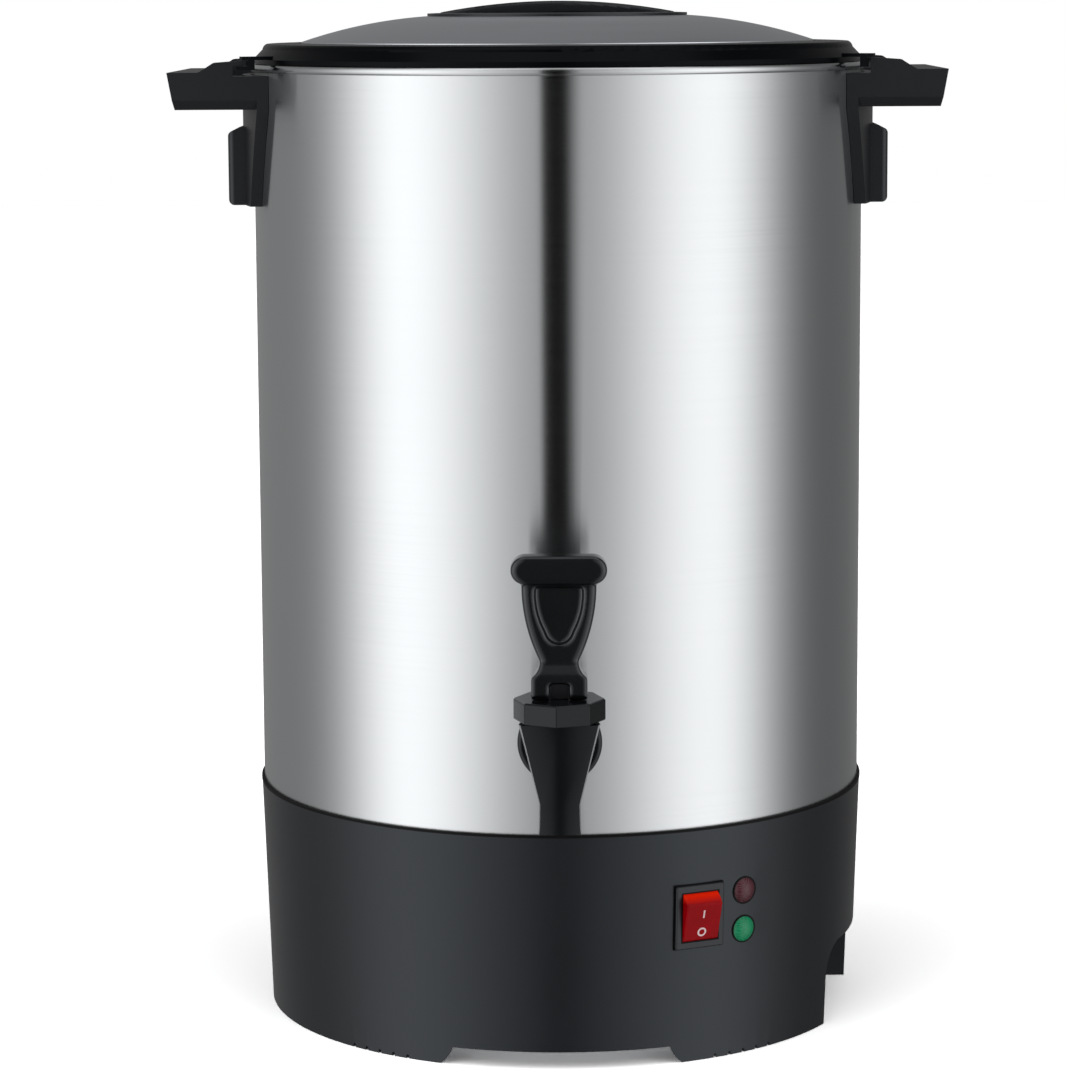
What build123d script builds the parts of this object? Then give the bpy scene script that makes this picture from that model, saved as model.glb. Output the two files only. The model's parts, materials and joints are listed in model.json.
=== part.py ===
from build123d import *
from math import acos, atan2, cos, degrees, hypot, pi, radians, sin, sqrt
import os

# Coffee urn. Millimetres, +Z up, origin on the urn's axis at the level it stands on.
# The tap faces -Y. An azimuth is an angle round the axis, from the tap towards +X.

# ---- fits and clearances ----
seat_gap = 0.3          # between bodies that rest on each other
running_gap = 0.05      # radial, round a pin or a screw
sheet_gap = 0.1         # between a moulding and the sheet behind it
slide_gap = 0.4         # radial, round a part that slides freely
rocker_gap = 0.35       # radial, round the rocker in its pocket
eps = 1.0               # how far a cut runs past the face it leaves by

# ---- tank ----
tank_radius = 150.0
tank_wall = 0.8
rim_height = 470.2
bead_width = 2.4
bead_height = 3.6
floor_thickness = 1.0
floor_corner = 4.0
well_radius = 34.0
well_depth = 9.0
well_slope = 2.0

# ---- base housing ----
seam_height = 113.0
tank_sink = 7.0
base_lip = 0.9
base_foot_inset = 2.6       # from the tank's side to the foot's edge
base_wall = 2.6
shelf_thickness = 2.7
shelf_width = 30.0
foot_flange_width = 14.0
foot_flange_height = 2.5
front_cut_height = 8.5
front_cut_width = 103.0
front_cut_flare = 6.0
notch_azimuth = 36.3
notch_pitch = 3.2
notch_count = 5
notch_width = 1.7
notch_height = 2.0
notch_depth = 7.0
seam_ring_height = 1.3
seam_ring_proud = 0.25

# ---- bottom plate, feet and studs; each inset is from the foot's edge ----
plate_level = 10.0
plate_thickness = 1.2
post_inset = 21.4
post_radius = 4.0
post_azimuths = (45.0, 135.0, 225.0, 315.0)
screw_radius = 1.5
screw_length = 10.0
screw_head_radius = 3.0
screw_head_height = 2.0
foot_radius = 4.5
foot_height = 6.0
foot_inset = 12.4
stud_inset = 16.4
stud_azimuths = (18.0, 140.0, 262.0)
stud_radius = 2.5
stud_length = 14.0
stud_nut_flat = 8.0
stud_nut_height = 4.0
vent_length = 42.0
vent_width = 4.0
vent_count = 5
vent_pitch = 11.0

# ---- side handles ----
handle_half_width = 58.0
handle_foot_half_width = 43.2
handle_foot_drop = 68.2     # from the tank's rim to the handle's foot
handle_plate = 5.2
grip_drop = 21.1            # from the tank's rim to the grip's underside
grip_height = 17.9
grip_reach = 37.2
grip_thickness = 13.5
grip_taper = 3.2
arm_width = 10.0
arm_rise = 5.6
arm_fall = 1.0
arm_crest_inset = 1.7       # from the bar's inner face to the crest
arm_crest_reach = 15.6
arm_slope_reach = 7.3
arm_bevel = 4.6
block_reach = 11.2
block_half_width = 28.0
block_height = 38.0
block_round = 3.0
handle_screw_radius = 2.5
handle_screw_length = 9.0
handle_screw_head = 4.6
handle_screw_head_height = 2.4
handle_screw_low = (6.5, 18.5)      # angle from the handle's middle, height over its foot
handle_screw_high = (19.6, 52.5)

# ---- lid lugs and their slots in the handles ----
lug_width = 3.6
lug_gap = 1.1               # from an arm's outer face to the lug beside it
lug_plate = 1.7
lug_rise = 4.1              # from the lid's underside to a lug's top
lug_reach = 14.0
lug_leg_inset = 7.5
lug_leg = 3.2
lug_toe = 4.8
lug_toe_height = 1.8
lug_drop = 2.3
slot_height = 5.1

# ---- lid ----
lid_inset = 0.4             # from the tank's side to the lid's edge
lid_lip = 2.3
lid_shoulder_width = 4.3
lid_shoulder_rise = 6.7
lid_shoulder_round = 0.3
lid_crown_width = 2.1
lid_crown_rise = 9.4
lid_band_width = 15.7
lid_opening_rise = 9.9
lid_thickness = 2.8
skirt_inset = 4.7           # from the tank's inside to the skirt
skirt_thickness = 3.5
skirt_depth = 8.1
skirt_bead = 1.5
seal_height = 5.2
seal_round = 1.2
dome_round = 242.0           # radius of the dome's profile
dome_level_radius = 48.7     # where that profile is level
dome_drop = 0.2
dome_sheet = 0.8
dome_tuck = 7.0

# ---- lid grip ----
dish_radius = 58.5
dish_floor_radius = 50.0
dish_depth = 24.0
dish_wall = 2.2
dish_flange = 5.5
dish_flange_thickness = 1.2
grip_bar_width = 30.0
grip_bar_rise = 5.6
grip_bar_thickness = 7.0
grip_bar_round = 2.0
dish_nut_width = 5.0
dish_nut_height = 4.0

# ---- tap ----
tap_height = 159.4
tap_reach = 42.0
tap_front = 0.86            # these five are shares of the body's half width
tap_brow = (0.95, 0.68)
tap_side = (1.0, 0.5)
tap_rear = (0.82, 0.57)
tap_back = 1.0
tap_top_radius = 18.5
tap_body_rise = 18.1
tap_waist_radius = 9.4
tap_waist_drop = 19.7
spout_radius = 9.6
spout_drop = 33.6
outlet_radius = 6.0
chamber_radius = 9.2
seat_drop = 6.3
tap_neck_radius = 10.5
shank_radius = 7.9
shank_length = 22.0
inlet_bore_radius = 5.2
tap_flange_radius = 19.8
tap_flange_thickness = 4.0
tap_gasket_thickness = 2.0
shank_nut_radius = 14.0
shank_nut_height = 6.0
bonnet_radius = 21.0
bonnet_turn = -4.0
bonnet_height = 10.1
bonnet_thread_radius = 14.8
bonnet_thread_height = 5.8
bonnet_chamfer = 0.8
stem_radius = 3.0
stem_head_width = 8.0
stem_head_rise = 4.5
seat_cup_clearance = 1.3    # from the chamber's wall to the cup
seat_cup_height = 9.0
seat_cup_grip = 6.3
spring_radius = 5.6
spring_wire = 0.6
spring_turns = 6

# ---- tap lever ----
fork_drop = 7.0             # from the pin to the fork's underside
fork_front = 8.2
fork_back = 5.0
fork_toe_round = 1.5
fork_brow_round = 4.0
pin_radius = 1.5
fork_width = 25.6
fork_shoulder_rise = 3.1
fork_shoulder_round = 7.5
fork_top_rise = 9.6
lever_waist = 17.8
lever_shoulder = 34.2
lever_plate_rise = 46.1
lever_plate_thickness = 8.0
lever_belly = 15.3
lever_bar_width = 43.9
lever_bar_height = 13.1
lever_bar_depth = 12.0
lever_recess_width = 21.5
lever_recess_belly = 20.4
lever_recess_chin = 12.9
lever_recess_top = 43.6
lever_recess_bottom = 17.7
lever_recess_chin_rise = 5.4
lever_recess_depth = 4.0
lever_edge = 2.6

# ---- percolator ----
pump_tube_radius = 8.0
pump_tube_wall = 0.8
pump_tube_drop = 27.8       # from the tank's rim to the tube's top
pump_foot_clearance = 5.0   # from the well's wall to the foot
pump_foot_height = 14.2
pump_collar_radius = 11.0
pump_collar_height = 3.0
valve_radius = 12.0
valve_hole = 3.0
valve_thickness = 1.0
basket_radius = 95.0
basket_drop = 142.5         # from the tank's rim to the basket's underside
basket_height = 99.0
basket_sheet = 0.8
basket_sleeve_height = 45.0
basket_hole = 1.3
basket_first_ring = 25.0
basket_ring_pitch = 15.0
basket_hole_pitch = 14.0
spreader_lip = 8.0
spreader_hole = 1.6
spreader_first_ring = 30.0
spreader_ring_pitch = 20.0
spreader_hole_pitch = 22.0
ring_margin = 8.0           # no hole nearer than this to a sheet's edge

# ---- heating ----
heater_inset = 2.0          # from the well's side to the heater's edge
heater_height = 10.0
warm_ring_radius = 75.0
warm_tube_radius = 3.5
warm_ring_angle = 300.0
warm_end_angle = 4.0
terminal_width = 6.3
terminal_thickness = 0.8
terminal_length = 9.0
cutout_radius = 8.0
cutout_height = 8.5
cutout_circle = 52.0
thermostat_azimuth = 235.0
thermal_fuse_azimuth = 305.0

# ---- switch and lamps ----
switch_azimuth = 25.8
switch_height = 71.6
switch_bezel = (25.5, 31.0)
switch_bezel_round = 1.0
switch_bezel_chamfer = 0.5
switch_case = (22.0, 28.0)
switch_wall = 1.7
switch_bezel_thickness = 2.0
switch_depth = 24.0
rocker_pivot_depth = 6.0
rocker_radius = 12.9
rocker_flat = 9.0
rocker_tilt = 13.0
rocker_pin_radius = 2.0
rocker_pin_length = 1.1
rocker_web = 3.0
lamp_azimuth = 35.6
lamp_heights = {"red": 80.7, "green": 61.7}
lamp_radius = 6.0
lamp_dome = 3.0
lamp_flange = 0.4
lamp_rim = 1.0              # how far the lens overlaps its case
lamp_case_wall = 0.6
lamp_case_depth = 20.0

# ---- mains inlet ----
pocket_middle = -25.6
pocket_width = 90.0
pocket_height = 39.5
pocket_round = 15.0
pocket_depth = 33.4         # inwards from the foot's edge
inlet_level = 23.0
inlet_flange = (50.0, 24.0)
inlet_flange_round = 6.0
inlet_flange_thickness = 3.0
inlet_wall = 1.7
inlet_depth = 20.0
inlet_mouth = (24.2, 16.4)
inlet_mouth_depth = 17.0
inlet_mouth_chamfer = 3.5
inlet_screw_spacing = 40.0
pin_size = (2.0, 4.0)
pin_length = 14.0
pin_spacing = 7.0
pin_offset = 2.0

# ---- terminal block and wires ----
block_size = (18.0, 46.0, 14.0)
block_place = (-20.0, 40.0)
block_way_pitch = 12.0
block_chamfer = 2.0
block_screw_radius = 2.2
block_screw_sink = 1.0
block_screw_depth = 7.0
wire_radius = 1.2
wire_bend = 7.0
wire_exit = 20.0            # straight run behind a terminal
wire_fan = 6.0              # how far each wire is led past the next
inlet_wire_reach = 45.0
switch_wire_reach = 20.0
switch_wire_slope = (50.0, 20.0)

# ---- worked out from the above ----
tank_bottom = seam_height - tank_sink
tank_inside = tank_radius - tank_wall
well_bottom = tank_bottom - well_depth
well_floor = well_bottom + floor_thickness
base_foot_radius = tank_radius - base_foot_inset
base_top_radius = tank_radius + seat_gap + base_lip
wall_slope = (base_top_radius - base_foot_radius) / seam_height
wall_tilt = degrees(atan2(base_top_radius - base_foot_radius, seam_height))
shelf_underside = tank_bottom - shelf_thickness
shelf_radius = base_foot_radius - shelf_width
plate_top = plate_level + plate_thickness
post_circle = base_foot_radius - post_inset
foot_circle = base_foot_radius - foot_inset
stud_circle = base_foot_radius - stud_inset
foot_azimuths = (notch_azimuth, 180 - notch_azimuth, 180 + notch_azimuth, -notch_azimuth)
handle_foot_level = rim_height - handle_foot_drop
grip_underside = rim_height - grip_drop
handle_inside = tank_radius + sheet_gap
plate_outside = handle_inside + handle_plate
grip_top = grip_underside + grip_height
grip_outside = tank_radius + grip_reach
grip_inside = grip_outside - grip_thickness
arm_top = grip_top + arm_rise
lid_radius = tank_radius - lid_inset
lid_shoulder_radius = lid_radius - lid_shoulder_width
lid_crown_radius = lid_shoulder_radius - lid_crown_width
lid_opening_radius = lid_crown_radius - lid_band_width
lid_level = rim_height + seat_gap
skirt_radius = tank_inside - skirt_inset
skirt_bottom = lid_level - skirt_depth
lug_outside = lid_radius + lug_reach
lug_leg_inside = lid_radius + lug_leg_inset
lug_leg_outside = lug_leg_inside + lug_leg
lug_leg_middle = (lug_leg_inside + lug_leg_outside) / 2
lug_toe_outside = lug_leg_outside + lug_toe
lug_offset = handle_half_width + lug_gap + lug_width / 2
lug_azimuth = degrees(acos(lug_offset / lug_leg_middle))
lug_top = lid_level + lug_rise
lug_bottom = lid_level - lug_drop
slot_top = lug_bottom + lug_toe_height + seat_gap
slot_bottom = slot_top - slot_height
dome_edge = lid_level + lid_opening_rise - dome_drop
dome_top = dome_edge + dome_round - sqrt(dome_round**2 - (lid_opening_radius - dome_level_radius) ** 2)
dome_middle = (dish_radius + lid_opening_radius) / 2
dish_rim = dish_radius + dish_flange
tap_y = -(tank_radius + tap_reach)
flange_face = tank_radius + tap_gasket_thickness
body_face = flange_face + tap_flange_thickness
body_top = tap_height + tap_body_rise
valve_seat = tap_height - seat_drop
bonnet_bottom = body_top + seat_gap
bonnet_top = bonnet_bottom + bonnet_height
pin_level = bonnet_top + seat_gap + fork_drop
fork_gap = stem_head_width + 2 * slide_gap
seat_cup_radius = chamber_radius - seat_cup_clearance
heater_radius = well_radius - heater_inset
pump_foot_radius = well_radius - floor_thickness - pump_foot_clearance
pump_foot_level = well_floor + seat_gap
pump_tube_top = rim_height - pump_tube_drop
basket_level = rim_height - basket_drop
basket_top = basket_level + basket_height
collar_top = basket_level - seat_gap
rocker_width = switch_case[0] - 2 * switch_wall
rocker_pocket_radius = rocker_radius + rocker_gap
lamp_case_radius = lamp_radius - lamp_rim
pocket_back = base_foot_radius - pocket_depth
inlet_case = (inlet_mouth[0] + 2 * inlet_wall, inlet_mouth[1] + 2 * inlet_wall)
block_top = plate_top + block_size[2]


def base_radius(height):
    """Outside radius of the base housing at a height."""
    return base_foot_radius + wall_slope * height


def dome_height(radius, offset=0.0):
    """Height of the lid dome's outside at a radius, or of the same profile offset inwards."""
    return dome_top - dome_round + sqrt((dome_round - offset) ** 2 - (radius - dome_level_radius) ** 2)


def spot(azimuth, radius):
    """Place on the ground at an azimuth and a radius."""
    return (radius * sin(radians(azimuth)), -radius * cos(radians(azimuth)))


def upright(azimuth):
    """Plane through the urn's axis: its x runs outwards at the azimuth and its y runs up."""
    a = radians(azimuth)
    return Plane(origin=(0, 0, 0), x_dir=(sin(a), -cos(a), 0), z_dir=(-cos(a), -sin(a), 0))


def facing(azimuth, radius, height, tilt=0.0):
    """Plane that looks outwards at the azimuth, tilted down, with its x to the right as one faces it."""
    a, t = radians(azimuth), radians(tilt)
    outward = (sin(a) * cos(t), -cos(a) * cos(t), -sin(t))
    return Plane(origin=(*spot(azimuth, radius), height), x_dir=(cos(a), sin(a), 0), z_dir=outward)


def handle_screw_places(side):
    """Azimuth and height of each screw of the handle whose middle is at an azimuth."""
    return [
        (side + turn * angle, handle_foot_level + rise)
        for angle, rise in (handle_screw_low, handle_screw_high)
        for turn in (-1, 1)
    ]


def hole_rings(first_ring, ring_pitch, hole_pitch):
    """Radius and number of holes of each ring in a round sheet as wide as the basket."""
    rings = []
    radius = first_ring
    while radius < basket_radius - ring_margin:
        rings.append((radius, int(2 * pi * radius / hole_pitch)))
        radius += ring_pitch
    return rings


def save(part, name):
    """Label a finished piece and write its STEP file."""
    part.label = name
    export_step(part, f"parts/{name}.step")


# ======================= tank =======================

with BuildPart() as tank_shell:
    with BuildSketch(Plane.XZ):
        with BuildLine():
            Polyline(
                (0, well_bottom), (well_radius, well_bottom), (well_radius + well_slope, tank_bottom),
                (tank_radius - floor_corner, tank_bottom),
            )
            RadiusArc(
                (tank_radius - floor_corner, tank_bottom), (tank_radius, tank_bottom + floor_corner),
                -floor_corner,
            )
            Polyline(
                (tank_radius, tank_bottom + floor_corner), (tank_radius, rim_height - bead_height / 2),
                (0, rim_height - bead_height / 2), (0, well_bottom),
            )
        make_face()
        inner_corner = floor_corner - tank_wall
        floor_top = tank_bottom + floor_thickness
        with BuildLine():
            Polyline(
                (0, well_floor), (well_radius - floor_thickness, well_floor),
                (well_radius + well_slope - floor_thickness, floor_top),
                (tank_inside - inner_corner, floor_top),
            )
            RadiusArc(
                (tank_inside - inner_corner, floor_top), (tank_inside, floor_top + inner_corner),
                -inner_corner,
            )
            Polyline(
                (tank_inside, floor_top + inner_corner), (tank_inside, rim_height), (0, rim_height),
                (0, well_floor),
            )
        make_face(mode=Mode.SUBTRACT)
        with Locations((tank_inside + bead_width / 2, rim_height - bead_height / 2)):
            Ellipse(bead_width / 2, bead_height / 2)
    revolve(axis=Axis.Z)
    with BuildSketch(Plane.XZ.offset(tank_inside - eps)):
        with Locations((0, tap_height)):
            Circle(shank_radius + running_gap)
    extrude(amount=2 * eps + tank_wall, mode=Mode.SUBTRACT)
    for azimuth, height in handle_screw_places(90) + handle_screw_places(270):
        with BuildSketch(facing(azimuth, tank_inside - eps, height)):
            Circle(handle_screw_radius + running_gap)
        extrude(amount=2 * eps + tank_wall, mode=Mode.SUBTRACT)
save(tank_shell.part, "tank_shell")

with BuildPart() as tank_studs:
    for azimuth in stud_azimuths:
        with BuildSketch(Plane.XY.offset(tank_bottom)):
            with Locations(spot(azimuth, stud_circle)):
                Circle(stud_radius)
        extrude(amount=-stud_length)
save(tank_studs.part, "tank_studs")

with BuildPart() as stud_nuts:
    for azimuth in stud_azimuths:
        with BuildSketch(Plane.XY.offset(shelf_underside)):
            with Locations(spot(azimuth, stud_circle)):
                RegularPolygon(stud_nut_flat / 2, 6, major_radius=False)
                Circle(stud_radius + running_gap, mode=Mode.SUBTRACT)
        extrude(amount=-stud_nut_height)
save(stud_nuts.part, "stud_nuts")

# ======================= base =======================

with BuildPart() as pocket_block:
    pocket_outline = (pocket_width + 2 * base_wall, pocket_height + base_wall)
    with BuildSketch(Plane.YZ.offset(pocket_back - base_wall)):
        with Locations((pocket_middle, pocket_outline[1] / 2)):
            Rectangle(*pocket_outline)
    extrude(amount=base_foot_radius)
    upper = pocket_block.edges().filter_by(Axis.X).group_by(Axis.Z)[-1]
    fillet(upper, pocket_round + base_wall)

with BuildPart() as base_cavity:
    with BuildSketch(Plane.XZ):
        with BuildLine():
            Polyline(
                (0, -eps), (base_foot_radius - foot_flange_width, -eps),
                (base_foot_radius - foot_flange_width, foot_flange_height),
                (base_radius(foot_flange_height) - base_wall, foot_flange_height),
                (base_radius(shelf_underside) - base_wall, shelf_underside),
                (shelf_radius, shelf_underside), (shelf_radius, tank_bottom),
                (tank_radius + seat_gap, tank_bottom), (tank_radius + seat_gap, seam_height + eps),
                (0, seam_height + eps), (0, -eps),
            )
        make_face()
    revolve(axis=Axis.Z)
    add(pocket_block.part, mode=Mode.SUBTRACT)

switch_face = facing(switch_azimuth, base_radius(switch_height), switch_height, wall_tilt)
lamp_faces = {
    colour: facing(lamp_azimuth, base_radius(height), height, wall_tilt)
    for colour, height in lamp_heights.items()
}

with BuildPart() as base_housing:
    with BuildSketch(Plane.XZ):
        with BuildLine():
            Polyline(
                (0, 0), (base_foot_radius, 0), (base_top_radius, seam_height), (0, seam_height), (0, 0)
            )
        make_face()
    revolve(axis=Axis.Z)
    add(base_cavity.part, mode=Mode.SUBTRACT)
    # the mains pocket is an arch in the wall, open at the bottom
    with BuildSketch(Plane.YZ.offset(pocket_back)):
        with Locations((pocket_middle, pocket_height / 2)):
            RectangleRounded(pocket_width, pocket_height, pocket_round)
        with Locations((pocket_middle, pocket_round / 2)):
            Rectangle(pocket_width, pocket_round + 2 * eps)
    extrude(amount=base_foot_radius, mode=Mode.SUBTRACT)
    # low arch at the front between the feet
    half_top, half_bottom = front_cut_width / 2, front_cut_width / 2 + front_cut_flare
    with BuildSketch(Plane.XZ.offset(base_foot_radius / 2)):
        with BuildLine():
            Polyline((-half_bottom, -eps), (-half_bottom, 0))
            RadiusArc((-half_bottom, 0), (-half_top, front_cut_height), -2 * front_cut_height)
            Line((-half_top, front_cut_height), (half_top, front_cut_height))
            RadiusArc((half_top, front_cut_height), (half_bottom, 0), -2 * front_cut_height)
            Polyline((half_bottom, 0), (half_bottom, -eps), (-half_bottom, -eps))
        make_face()
    extrude(amount=base_foot_radius, mode=Mode.SUBTRACT)
    # grip notches in the feet
    for middle in foot_azimuths:
        for step in range(notch_count):
            azimuth = middle + (step - (notch_count - 1) / 2) * notch_pitch
            with BuildSketch(facing(azimuth, base_foot_radius - notch_depth, 0)):
                SlotOverall(2 * notch_height, notch_width, rotation=90)
            extrude(amount=2 * notch_depth, mode=Mode.SUBTRACT)
    # screw posts that hang from the shelf
    with BuildSketch(Plane.XY.offset(plate_top)):
        for azimuth in post_azimuths:
            with Locations(spot(azimuth, post_circle)):
                Circle(post_radius)
    extrude(amount=shelf_underside - plate_top)
    with BuildSketch(Plane.XY.offset(plate_top)):
        for azimuth in post_azimuths:
            with Locations(spot(azimuth, post_circle)):
                Circle(screw_radius + running_gap)
    extrude(amount=screw_length, mode=Mode.SUBTRACT)
    with BuildSketch(Plane.XY.offset(shelf_underside - eps)):
        for azimuth in stud_azimuths:
            with Locations(spot(azimuth, stud_circle)):
                Circle(stud_radius + slide_gap)
    extrude(amount=shelf_thickness + 2 * eps, mode=Mode.SUBTRACT)
    # sockets for the rubber feet
    with BuildSketch(Plane.XY.offset(-eps)):
        for middle in foot_azimuths:
            with Locations(spot(middle, foot_circle)):
                Circle(foot_radius + running_gap)
    extrude(amount=foot_flange_height + 2 * eps, mode=Mode.SUBTRACT)
    # windows for the switch, the lamps and the inlet
    with BuildSketch(switch_face.offset(-2 * base_wall)):
        Rectangle(switch_case[0] + 2 * sheet_gap, switch_case[1] + 2 * sheet_gap)
    extrude(amount=4 * base_wall, mode=Mode.SUBTRACT)
    for face in lamp_faces.values():
        with BuildSketch(face.offset(-2 * base_wall)):
            Circle(lamp_case_radius + sheet_gap)
        extrude(amount=4 * base_wall, mode=Mode.SUBTRACT)
    with BuildSketch(Plane.YZ.offset(pocket_back - 2 * base_wall)):
        with Locations((pocket_middle, inlet_level)):
            Rectangle(inlet_case[0] + 2 * sheet_gap, inlet_case[1] + 2 * sheet_gap)
            with GridLocations(inlet_screw_spacing, 0, 2, 1):
                Circle(screw_radius + running_gap)
    extrude(amount=2 * base_wall + eps, mode=Mode.SUBTRACT)
save(base_housing.part, "base_housing")

with BuildPart() as seam_ring:
    with BuildSketch(Plane.XY.offset(seam_height)):
        Circle(base_top_radius + seam_ring_proud)
        Circle(tank_radius + running_gap, mode=Mode.SUBTRACT)
    extrude(amount=seam_ring_height)
    with BuildSketch(Plane.XY.offset(seam_height)):
        Circle(tank_radius + seat_gap - running_gap)
        Circle(tank_radius + running_gap, mode=Mode.SUBTRACT)
    extrude(amount=-tank_sink / 2)
save(seam_ring.part, "seam_ring")

with BuildPart() as bottom_plate:
    with BuildSketch(Plane.XY.offset(plate_level)):
        Circle(post_circle + 2 * post_radius)
        for azimuth in post_azimuths:
            with Locations(spot(azimuth, post_circle)):
                Circle(screw_radius + slide_gap, mode=Mode.SUBTRACT)
        with Locations((pocket_back - base_wall - sheet_gap + base_foot_radius / 2, pocket_middle)):
            Rectangle(
                base_foot_radius, pocket_width + 2 * base_wall + 2 * sheet_gap, mode=Mode.SUBTRACT
            )
        with Locations((0, -post_circle / 2)):
            with GridLocations(0, vent_pitch, 1, vent_count):
                SlotOverall(vent_length, vent_width, mode=Mode.SUBTRACT)
    extrude(amount=plate_thickness)
save(bottom_plate.part, "bottom_plate")

with BuildPart() as bottom_screws:
    for azimuth in post_azimuths:
        with BuildSketch(Plane.XY.offset(plate_level)):
            with Locations(spot(azimuth, post_circle)):
                Circle(screw_head_radius)
        extrude(amount=-screw_head_height)
        with BuildSketch(Plane.XY.offset(plate_level)):
            with Locations(spot(azimuth, post_circle)):
                Circle(screw_radius)
        extrude(amount=plate_thickness + screw_length - eps)
save(bottom_screws.part, "bottom_screws")

with BuildPart() as rubber_feet:
    for middle in foot_azimuths:
        with BuildSketch(Plane.XY):
            with Locations(spot(middle, foot_circle)):
                Circle(foot_radius)
        extrude(amount=foot_height)
save(rubber_feet.part, "rubber_feet")

# ======================= side handles =======================

with BuildPart() as handle_right:
    # curved plate on the tank, narrower towards its foot
    with BuildSketch(Plane.XY.offset(handle_foot_level)):
        Circle(plate_outside)
        Circle(handle_inside, mode=Mode.SUBTRACT)
    extrude(amount=slot_bottom - handle_foot_level)
    with BuildSketch(Plane.YZ):
        with BuildLine():
            Polyline(
                (-handle_foot_half_width, handle_foot_level), (handle_foot_half_width, handle_foot_level),
                (handle_half_width, grip_underside), (handle_half_width, slot_bottom),
                (-handle_half_width, slot_bottom), (-handle_half_width, grip_underside), close=True,
            )
        make_face()
    extrude(amount=2 * tank_radius, mode=Mode.INTERSECT)
    # arms and grip bar share one end profile
    with BuildSketch(Plane.XZ):
        crest = grip_inside - arm_crest_inset
        with BuildLine():
            Polyline(
                (tank_radius - arm_crest_reach, grip_underside),
                (grip_outside - grip_taper, grip_underside), (grip_outside, grip_top),
                (crest, grip_top), (crest - arm_slope_reach, arm_top - arm_fall),
                (tank_radius + arm_fall, arm_top), (tank_radius - arm_crest_reach, arm_top), close=True,
            )
        make_face()
    extrude(amount=handle_half_width, both=True)
    bevelled = handle_right.edges().filter_by(Axis.X).group_by(SortBy.LENGTH)[-1].group_by(Axis.Z)[0]
    chamfer(bevelled, arm_bevel)
    # finger gap between the plate and the bar
    with BuildSketch(Plane.XY.offset(grip_underside - eps)):
        with Locations((grip_inside - tank_radius / 2, 0)):
            Rectangle(tank_radius, 2 * (handle_half_width - arm_width))
        Circle(plate_outside, mode=Mode.SUBTRACT)
    extrude(amount=arm_top - grip_underside + 2 * eps, mode=Mode.SUBTRACT)
    # stiff block under the grip
    block_inside, block_outside = tank_radius - block_reach, tank_radius + block_reach
    block_ceiling = handle_foot_level + block_height
    with BuildSketch(Plane.XZ):
        with BuildLine():
            Polyline(
                (block_inside, handle_foot_level), (block_outside, handle_foot_level),
                (block_outside, block_ceiling - block_round), (plate_outside, block_ceiling),
                (block_inside, block_ceiling), close=True,
            )
        make_face()
    extrude(amount=block_half_width, both=True)
    block_face = handle_right.faces().filter_by(Axis.X).filter_by_position(
        Axis.X, block_outside - sheet_gap, block_outside + sheet_gap
    )
    fillet(block_face.edges(), block_round)
    # room for the tank, the rim and the legs of the lid's lugs
    with BuildSketch(Plane.XY.offset(handle_foot_level - eps)):
        Circle(handle_inside)
    extrude(amount=rim_height - handle_foot_level, mode=Mode.SUBTRACT)
    with BuildSketch(Plane.XY.offset(slot_bottom)):
        Circle(lug_leg_outside + slide_gap)
    extrude(amount=arm_top + eps - slot_bottom, mode=Mode.SUBTRACT)
    # the slot that one arm has for the toe of a lug
    with BuildSketch(Plane.XY.offset(slot_bottom)):
        Circle(lug_toe_outside + 2 * slide_gap)
        Rectangle(
            4 * tank_radius, 2 * tank_radius, align=(Align.CENTER, Align.MAX), mode=Mode.SUBTRACT
        )
    extrude(amount=slot_height, mode=Mode.SUBTRACT)
    for azimuth, height in handle_screw_places(90):
        with BuildSketch(facing(azimuth, tank_inside, height)):
            Circle(handle_screw_radius + running_gap)
        extrude(amount=handle_screw_length + seat_gap, mode=Mode.SUBTRACT)
save(handle_right.part, "handle_right")
save(handle_right.part.rotate(Axis.Z, 180), "handle_left")

with BuildPart() as handle_screws:
    for azimuth, height in handle_screw_places(90) + handle_screw_places(270):
        seat = facing(azimuth, tank_inside - sheet_gap, height)
        with BuildSketch(seat):
            Circle(handle_screw_radius)
        extrude(amount=handle_screw_length)
        with BuildSketch(seat):
            Circle(handle_screw_head)
        extrude(amount=-handle_screw_head_height)
save(handle_screws.part, "handle_screws")

# ======================= lid =======================

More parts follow.
